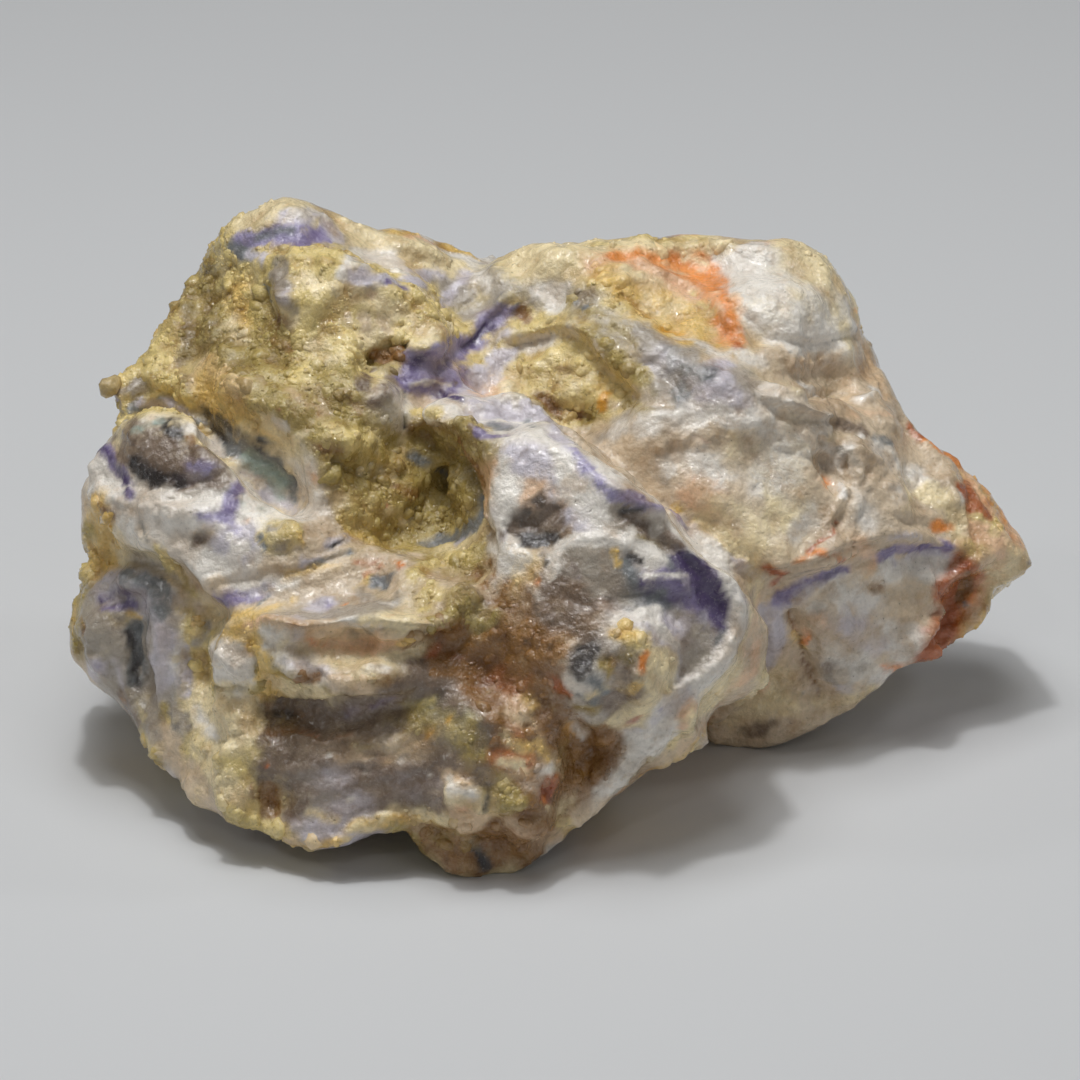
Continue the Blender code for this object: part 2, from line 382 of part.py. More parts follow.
def normals_of(mesh):
    flat = np.empty(len(mesh.vertices) * 3)
    mesh.vertex_normals.foreach_get("vector", flat)
    return flat.reshape(-1, 3)


def ends_of(mesh):
    flat = np.empty(len(mesh.edges) * 2, dtype=np.int64)
    mesh.edges.foreach_get("vertices", flat)
    return flat.reshape(-1, 2)


def neighbour_mean(values, ends):
    """Each point's value averaged over the points that share an edge with it."""
    total = np.zeros_like(values)
    count = np.zeros(len(values))
    for first, second in ((0, 1), (1, 0)):
        np.add.at(total, ends[:, first], values[ends[:, second]])
        np.add.at(count, ends[:, first], 1.0)
    return total / count[:, None]


def soften(mesh, rounds):
    """Smooths the skin without shrinking it: each pull in is followed by a slightly larger push out."""
    points, ends = points_of(mesh), ends_of(mesh)
    for _ in range(rounds):
        for pull in (0.5, -0.52):
            points = points + pull * (neighbour_mean(points, ends) - points)
    set_points(mesh, points)


def remesh(mesh, voxel_mm):
    """The skin made again from cells of one size."""
    holder = add_object("holder", mesh)
    cells = holder.modifiers.new("cells", "REMESH")
    cells.mode = "VOXEL"
    cells.voxel_size = voxel_mm * MM
    graph = bpy.context.evaluated_depsgraph_get()
    skin = bpy.data.meshes.new_from_object(holder.evaluated_get(graph))
    bpy.data.objects.remove(holder, do_unlink=True)
    return skin


def seen_at(points):
    """(across, up, out) in millimetres of points in world millimetres."""
    from_middle = points - np.array(ORIGIN) / MM
    out = from_middle @ np.array(OUT)
    share = (EYE_MM - out) / EYE_MM
    return np.stack([from_middle @ np.array(ACROSS) / share, from_middle @ np.array(UP) / share, out], axis=1)


def back_from(seen):
    """World millimetres of points given as (across, up, out)."""
    share = ((EYE_MM - seen[:, 2]) / EYE_MM)[:, None]
    flat = seen[:, 0:1] * np.array(ACROSS) + seen[:, 1:2] * np.array(UP)
    return np.array(ORIGIN) / MM + flat * share + seen[:, 2:3] * np.array(OUT)


def outline_radius(bearings):
    """How far the outline stands from the middle at each bearing."""
    corners = np.array(OUTLINE + OUTLINE[:1])
    found = np.zeros(len(bearings))
    heading = np.stack([np.cos(bearings), np.sin(bearings)], axis=1)
    for start, end in zip(corners[:-1], corners[1:]):
        side = end - start
        cross = heading[:, 0] * side[1] - heading[:, 1] * side[0]
        with np.errstate(divide="ignore", invalid="ignore"):
            reach = (start[0] * side[1] - start[1] * side[0]) / cross
            along = (start[0] * heading[:, 1] - start[1] * heading[:, 0]) / cross
        hit = (np.abs(cross) > 1e-9) & (along >= 0.0) & (along <= 1.0) & (reach > 0.0)
        found = np.where(hit, np.maximum(found, reach), found)
    return found


def fit_to_outline(mesh):
    """Draws the skin in or out, most at its edge, until the eye sees the outline."""
    bins = 240
    seen = seen_at(points_of(mesh))
    radius = np.hypot(seen[:, 0], seen[:, 1])
    bearing = np.arctan2(seen[:, 1], seen[:, 0])
    slot = np.floor((bearing + np.pi) / (2 * np.pi) * bins).astype(int) % bins
    edge = np.zeros(bins)
    np.maximum.at(edge, slot, radius)
    middles = (np.arange(bins) + 0.5) / bins * 2 * np.pi - np.pi
    wanted = outline_radius(middles) / edge
    turns = np.concatenate([middles - 2 * np.pi, middles, middles + 2 * np.pi])
    stretch = np.interp(bearing, turns, np.tile(wanted, 3))
    limit = np.interp(bearing, turns, np.tile(edge, 3))
    share = np.clip((radius / limit - 0.45) / 0.55, 0.0, 1.0) ** 2
    factor = 1.0 + (stretch - 1.0) * share
    seen[:, 0] *= factor
    seen[:, 1] *= factor
    set_points(mesh, back_from(seen))


def sight(look, across, up):
    """Where a sight line of this look starts and which way it runs."""
    if look == "front":
        start = ORIGIN + OUT * (EYE_MM * MM)
        return start, (place(across, up, 0.0) - start).normalized()
    turn, lift = (math.radians(angle) for angle in LOOKS[look])
    side = Vector((math.cos(turn), math.sin(turn), 0.0))
    back = Vector((math.sin(turn) * math.cos(lift), -math.cos(turn) * math.cos(lift), math.sin(lift)))
    start = Vector(LOOK_MIDDLE_MM) + side * across + back.cross(side) * up + back * FAR_MM
    return start * MM, -back


def trace(tree, look, path):
    """Places on the skin along a path, closely spaced, in world millimetres."""
    found = []
    corners = path if len(path) > 1 else path * 2
    for (a0, u0), (a1, u1) in zip(corners[:-1], corners[1:]):
        steps = max(1, math.ceil(math.hypot(a1 - a0, u1 - u0) / STEP_MM))
        for step in range(steps + 1):
            share = step / steps
            hit = tree.ray_cast(*sight(look, a0 + (a1 - a0) * share, u0 + (u1 - u0) * share))[0]
            if hit is not None:
                found.append(hit / MM)
    return np.array(found)


def shape(mesh, forms):
    """Works the forms into the skin. Their paths are all laid on it before the first is worked in."""
    tree = BVHTree.FromPolygons(
        [vertex.co for vertex in mesh.vertices], [face.vertices for face in mesh.polygons]
    )
    trails = [trace(tree, look, path) for look, _, path, _, _ in forms]
    for trail, (_, kind, _, half_width, push) in zip(trails, forms):
        if not len(trail):
            continue
        points, normals = points_of(mesh), normals_of(mesh)
        low, high = trail.min(axis=0) - half_width, trail.max(axis=0) + half_width
        near = np.flatnonzero(((points > low) & (points < high)).all(axis=1))
        gaps = points[near][:, None, :] - trail[None, :, :]
        distance = np.linalg.norm(gaps, axis=2)
        nearest = distance.argmin(axis=1)
        distance = distance.min(axis=1)
        reach = np.clip(1.0 - (distance / half_width) ** 2, 0.0, 1.0) ** 2
        heading = (normals[near] * reach[:, None]).sum(axis=0)
        heading /= max(np.linalg.norm(heading), 1e-9)
        amount = push * reach
        if kind == "ledge":
            along = np.gradient(trail, axis=0)[nearest]
            left = np.cross(heading, along)
            left /= np.maximum(np.linalg.norm(left, axis=1), 1e-9)[:, None]
            offset = (gaps[np.arange(len(near)), nearest] * left).sum(axis=1) / half_width
            amount = amount * np.clip(offset * 4.0, -1.0, 1.0)
        if kind == "flat":
            amount = amount * ((trail @ heading).mean() - points[near] @ heading)
        facing = np.clip((normals[near] @ heading) * 2.0 + 0.6, 0.0, 1.0)
        points[near] += heading * (amount * facing)[:, None]
        set_points(mesh, points)


def lumps(place_mm, size, seed):
    return noise.noise(place_mm / size + Vector((seed, seed * 2, seed * 3)))


def roughen(mesh):
    """Lumps of a few sizes, and shallow chips that leave facets between sharp edges."""
    points, normals = points_of(mesh), normals_of(mesh)
    tree = BVHTree.FromPolygons(
        [vertex.co for vertex in mesh.vertices], [face.vertices for face in mesh.polygons]
    )
    calm = np.zeros(len(points))
    for look, path, half_width in CALM:
        trail = trace(tree, look, path)
        distance = np.linalg.norm(points[:, None, :] - trail[None, :, :], axis=2).min(axis=1)
        calm = np.maximum(calm, np.clip(1.5 - distance / half_width, 0.0, 1.0))
    away = np.clip((BACK_OUT_MM - seen_at(points)[:, 2]) / BACK_BLEND_MM, 0.0, 1.0)
    lift = np.zeros(len(points))
    for index, point in enumerate(points):
        place_mm = Vector(point)
        for size, height, seed in RELIEF:
            lift[index] += height * lumps(place_mm, size, seed)
        size, height, seed = BACK_RELIEF
        lift[index] += away[index] * height * lumps(place_mm, size, seed)
        wander = noise.noise_vector(place_mm / 6.0) * 0.35
        near, second = noise.voronoi(place_mm / CHIP_MM + wander)[0][:2]
        lift[index] += CHIP_DEPTH_MM * (min(second - near, 0.5) - 0.25)
    lift *= 1.0 - CALM_SHARE * calm
    set_points(mesh, points + normals * lift[:, None])


def set_down(mesh):
    """Lifts the underside clear of the floor, then lets a lobe down through it at each resting spot."""
    points = points_of(mesh)
    sunk = np.maximum(2 * CLEAR_MM - points[:, 2], 0.0)
    points[:, 2] = np.where(sunk > 0.0, CLEAR_MM * (1.0 + np.exp(-sunk / CLEAR_MM)), points[:, 2])
    for x, y, half_width in RESTS:
        distance = np.hypot(points[:, 0] - x, points[:, 1] - y)
        share = np.clip(1.0 - (distance / half_width) ** 2, 0.0, 1.0) ** 2
        share *= np.clip(1.0 - points[:, 2] / LOBE_MM, 0.0, 1.0)
        tip = points[distance < half_width / 4, 2].min()
        points[:, 2] -= (tip + SINK_MM) * share / share.max()
    set_points(mesh, points)


def thin(mesh):
    """The same skin in TRIANGLES faces."""
    holder = add_object("holder", mesh)
    fewer = holder.modifiers.new("fewer", "DECIMATE")
    fewer.ratio = TRIANGLES / sum(len(face.vertices) - 2 for face in mesh.polygons)
    fewer.use_collapse_triangulate = True
    graph = bpy.context.evaluated_depsgraph_get()
    skin = bpy.data.meshes.new_from_object(holder.evaluated_get(graph))
    bpy.data.objects.remove(holder, do_unlink=True)
    return skin


def cut_rests(stone):
    """Cuts the lobes off at the floor, which leaves the flats the stone rests on."""
    box = bmesh.new()
    bmesh.ops.create_cube(box, size=MM)
    bmesh.ops.scale(box, vec=FLOOR_MM, verts=box.verts)
    bmesh.ops.translate(box, vec=(0.0, 0.0, -FLOOR_MM[2] * MM / 2), verts=box.verts)
    mesh = bpy.data.meshes.new("floor_cutter")
    box.to_mesh(mesh)
    box.free()
    floor = add_object("floor_cutter", mesh)
    floor.hide_render = True
    floor.display_type = "WIRE"
    flats = stone.modifiers.new("flats", "BOOLEAN")
    flats.operation = "DIFFERENCE"
    flats.solver = "EXACT"
    flats.object = floor


def centre(mesh):
    """Moves the stone so that the frame's origin is under the middle of its box."""
    points = points_of(mesh)
    middle = (points.min(axis=0) + points.max(axis=0)) / 2
    set_points(mesh, points - middle * np.array([1.0, 1.0, 0.0]))


def finish(stone):
    """Plain cream opal, shaded smooth between its sharper edges."""
    opal = bpy.data.materials.new("opal")
    opal.use_nodes = True
    surface = opal.node_tree.nodes["Principled BSDF"]
    surface.inputs["Base Color"].default_value = (*OPAL_COLOUR, 1.0)
    surface.inputs["Roughness"].default_value = OPAL_ROUGHNESS
    surface.inputs["Metallic"].default_value = 0.0
    stone.data.materials.append(opal)
    stone.data.shade_smooth()
    stone.data.set_sharp_from_angle(angle=SHARP_ANGLE)


def main():
    clear_scene()
    skin = join_blocks()
    soften(skin, SOFTEN_ROUNDS)
    fit_to_outline(skin)
    shape(skin, [form for form in FORMS.values() if form[3] >= BROAD_MM])
    shape(skin, [form for form in FORMS.values() if form[3] < BROAD_MM])
    skin = remesh(skin, VOXEL_MM)
    roughen(skin)
    fit_to_outline(skin)
    set_down(skin)
    skin = thin(skin)
    centre(skin)
    stone = add_object("stone", skin)
    cut_rests(stone)
    finish(stone)


main()
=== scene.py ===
"""Dresses the purple opal specimen: a wet stone of banded opal in a granular crust, on a plain pale floor.

The stone is described as it is seen with its best side to the front. A place on it is (across, up) in
millimetres on the display plane, which leans back by LEAN and stands through the stone's middle.

The script lays a fine skin over the solid, works the small forms into it, lays the tints of ground, bands and
markings over it, roughens it by how granular each tint is, and scatters crumbs of crust where it is granular.
"""

import math

import bmesh
import bpy
import numpy as np
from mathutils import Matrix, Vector, noise
from mathutils.bvhtree import BVHTree


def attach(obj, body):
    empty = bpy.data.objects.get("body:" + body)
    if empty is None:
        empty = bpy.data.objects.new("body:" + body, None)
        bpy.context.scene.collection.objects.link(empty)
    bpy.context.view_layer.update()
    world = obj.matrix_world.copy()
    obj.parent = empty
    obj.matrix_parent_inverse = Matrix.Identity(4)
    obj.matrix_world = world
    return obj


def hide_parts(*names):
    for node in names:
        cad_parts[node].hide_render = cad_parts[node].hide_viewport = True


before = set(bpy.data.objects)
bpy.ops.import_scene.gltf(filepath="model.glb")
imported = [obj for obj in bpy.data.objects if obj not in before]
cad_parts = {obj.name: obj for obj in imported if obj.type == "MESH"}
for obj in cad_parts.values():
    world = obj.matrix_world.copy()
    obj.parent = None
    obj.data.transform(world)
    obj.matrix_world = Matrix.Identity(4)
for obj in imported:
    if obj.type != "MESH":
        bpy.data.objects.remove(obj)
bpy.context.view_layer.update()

MM = 0.001
LEAN = math.radians(25.0)
EYE_MM = 600.0  # the eye's distance in front of the display plane
ORIGIN_MM = np.array([-1.37, -7.09, 24.0])  # the display plane's own origin
ACROSS = np.array([1.0, 0.0, 0.0])
UP = np.array([0.0, math.sin(LEAN), math.cos(LEAN)])
OUT = np.array([0.0, -math.cos(LEAN), math.sin(LEAN)])
EYE_POINT_MM = ORIGIN_MM + OUT * EYE_MM
EYE_POINT = Vector(EYE_POINT_MM * MM)
FRAME_MM = 108.0  # width of what the camera takes in at the display plane

SKIN_MM = 0.8  # cell size of the stone's skin; the side towards the eye gets cells half as large
STEP_MM = 0.5  # spacing of the places along a path
FLAT_MM = 0.25  # what lies lower than this belongs to the resting flats, and sinks no further
SHADE_AND_DIRT_MM = 0.5  # a hollow this deep takes all the dirt and painted shade that a hollow can hold, and a rise this high all the painted light
LEDGE_REACH = 3.0  # how many half widths a ledge's rise and fall take to fade on either side
MARKING_REACH = 1.6  # how many half widths from its path a marking can still show
RELIEF_FADE_MM = 2.0  # the relief fades out from this height down to the ground
CRUMBS_FROM_MM = 2.5  # no crumb lies lower than this
MAIN_CRISP, MIXED_CRISP = 4.0, 1.5  # how much the strongest tint leads in a place's two colours

# Unevenness in the edges of what is laid on the stone: (broad and fine size in millimetres, seed).
FORM_WANDER = (1.8, 0.7, 101)
MARKING_WANDER = (2.4, 0.9, 61)
WORN_MM, WORN_SEED = 1.7, 83  # places where narrow markings are worn thin
DRIFT_MM, DRIFT_SEED = 3.2, 91.0  # drifts in which the crumbs lie

# Each tint of the stone: colour as (red, green, blue) out of 255, how granular it is, how glassy it is.
TINTS = {
    "cream": ((240, 222, 178), 0.5, 0.3),
    "straw": ((224, 202, 134), 0.9, 0.2),
    "gold": ((228, 192, 112), 0.9, 0.2),
    "amber": ((222, 160, 48), 0.4, 0.4),
    "tan": ((226, 198, 162), 0.4, 0.2),
    "olive": ((174, 153, 86), 1.0, 0.2),
    "dark olive": ((140, 120, 64), 1.0, 0.3),
    "brown": ((144, 104, 56), 0.8, 0.3),
    "rust": ((180, 100, 54), 0.5, 0.3),
    "orange": ((236, 146, 66), 0.3, 0.3),
    "peach": ((242, 202, 164), 0.2, 0.3),
    "ivory": ((214, 194, 166), 0.1, 0.5),
    "white": ((238, 232, 222), 0.15, 0.4),
    "lavender": ((206, 200, 208), 0.1, 0.5),
    "lilac": ((158, 150, 186), 0.1, 0.5),
    "violet": ((132, 120, 160), 0.1, 0.7),
    "deep violet": ((82, 68, 108), 0.0, 0.9),
    "mauve": ((168, 158, 144), 0.1, 0.9),
    "taupe": ((126, 108, 92), 0.1, 0.9),
    "charcoal": ((52, 47, 46), 0.1, 1.0),
    "slate": ((122, 126, 128), 0.1, 0.9),
    "sea": ((154, 170, 160), 0.1, 1.0),
}
TINT_NAMES = list(TINTS)
GRAIN, GLASS = 1, 2  # places of the two shares in a tint's values

# Under the markings, and on the sides away from the eye: (tint, size of its patches in mm, seed, share).
GROUND = [
    ("cream", 17.0, 1.0, 0.25), ("straw", 14.0, 2.0, 0.2), ("ivory", 16.0, 3.0, 0.2),
    ("white", 13.0, 4.0, 0.05), ("mauve", 15.0, 5.0, 0.1), ("olive", 12.0, 6.0, 0.1),
    ("lavender", 11.0, 7.0, 0.0), ("gold", 12.0, 8.0, 0.05), ("peach", 14.0, 9.0, 0.0),
]
GROUND_CRISP = 9.0  # how sharply one patch of ground gives way to the next

# Bands through that ground on the far side: (tint, size in mm, seed, half width in the noise, strength).
BANDS = [
    ("white", 30.0, 21.0, 0.15, 0.8), ("lavender", 30.0, 21.0, 0.08, 0.7), ("lilac", 30.0, 21.0, 0.045, 0.7),
    ("violet", 30.0, 21.0, 0.015, 0.6), ("mauve", 24.0, 41.0, 0.1, 0.7), ("taupe", 24.0, 41.0, 0.03, 0.6),
    ("peach", 22.0, 31.0, 0.07, 0.6), ("orange", 22.0, 31.0, 0.015, 0.45),
]

# Relief of the whole skin, in millimetres. Swells: (height, size, seed). Lumps where it is granular: (height,
# size, seed, wander, level). Plates where it is not: (height, size, seed, wander, start of the flat, level).
SWELLS = [(0.42, 5.0, 3.0), (0.26, 2.6, 13.0), (0.14, 1.3, 23.0)]
LUMPS = [(0.62, 2.3, 5.0, 0.5, 0.55), (0.28, 1.15, 9.0, 0.3, 0.5)]
PLATES = (0.45, 6.5, 15.0, 1.2, 0.45, 0.25)
RELIEF_WANDER_MM, RELIEF_WANDER_SEEDS = 1.6, (33, 43, 53)

# Crumbs of the crust: (piece, rounds of its shape, how many, range of radius in mm, share sunk, seed).
CRUMBS = [
    ("crust_crumbs", 2, 2400, (0.45, 1.20), 0.78, 4),
    ("crust_grains", 1, 6500, (0.16, 0.45), 0.65, 7),
]

# The materials' colours for stains, which in hollows also stand for painted shade, bleached grains, milky
# flecks and dark specks, as the shader's numbers.
STAIN_AND_SHADE, BLEACHED = (0.82, 0.58, 0.34, 1.0), (0.74, 0.66, 0.46, 1.0)
MILK, SPECK = (0.50, 0.48, 0.47, 1.0), (0.10, 0.07, 0.035, 1.0)
RELIEF_MM = 0.35  # depth of the materials' own relief
RAGGED_MM, BROAD_MM, RIPPLE_MM, FINE_MM = 1.3, 3.4, 1.1, 0.5  # lump sizes in the materials' own noises
WET_FILM = {"Specular IOR Level": 0.75, "Coat Weight": 0.35, "Coat Roughness": 0.05, "Coat IOR": 1.33}

# Square soft lamps, all turned to the stone: (name, place and size in metres, power in watts).
LAMPS = [
    ("overhead softbox", (-0.04, 0.04, 0.56), 0.36, 1.45),
    ("overhead lamp", (-0.06, 0.00, 0.56), 0.05, 0.75),
    ("front fill", (0.42, -0.50, 0.50), 0.30, 0.22),
    ("front lamp", (-0.10, -0.50, 0.46), 0.03, 0.10),
    ("low front lamp", (0.06, -0.62, 0.20), 0.02, 0.07),
    ("left strip", (-0.45, -0.05, 0.30), 0.06, 0.15),
    ("right strip", (0.40, 0.12, 0.38), 0.06, 0.15),
]
AMBIENT, AMBIENT_STRENGTH = (1.0, 0.97, 0.92, 1.0), 0.085
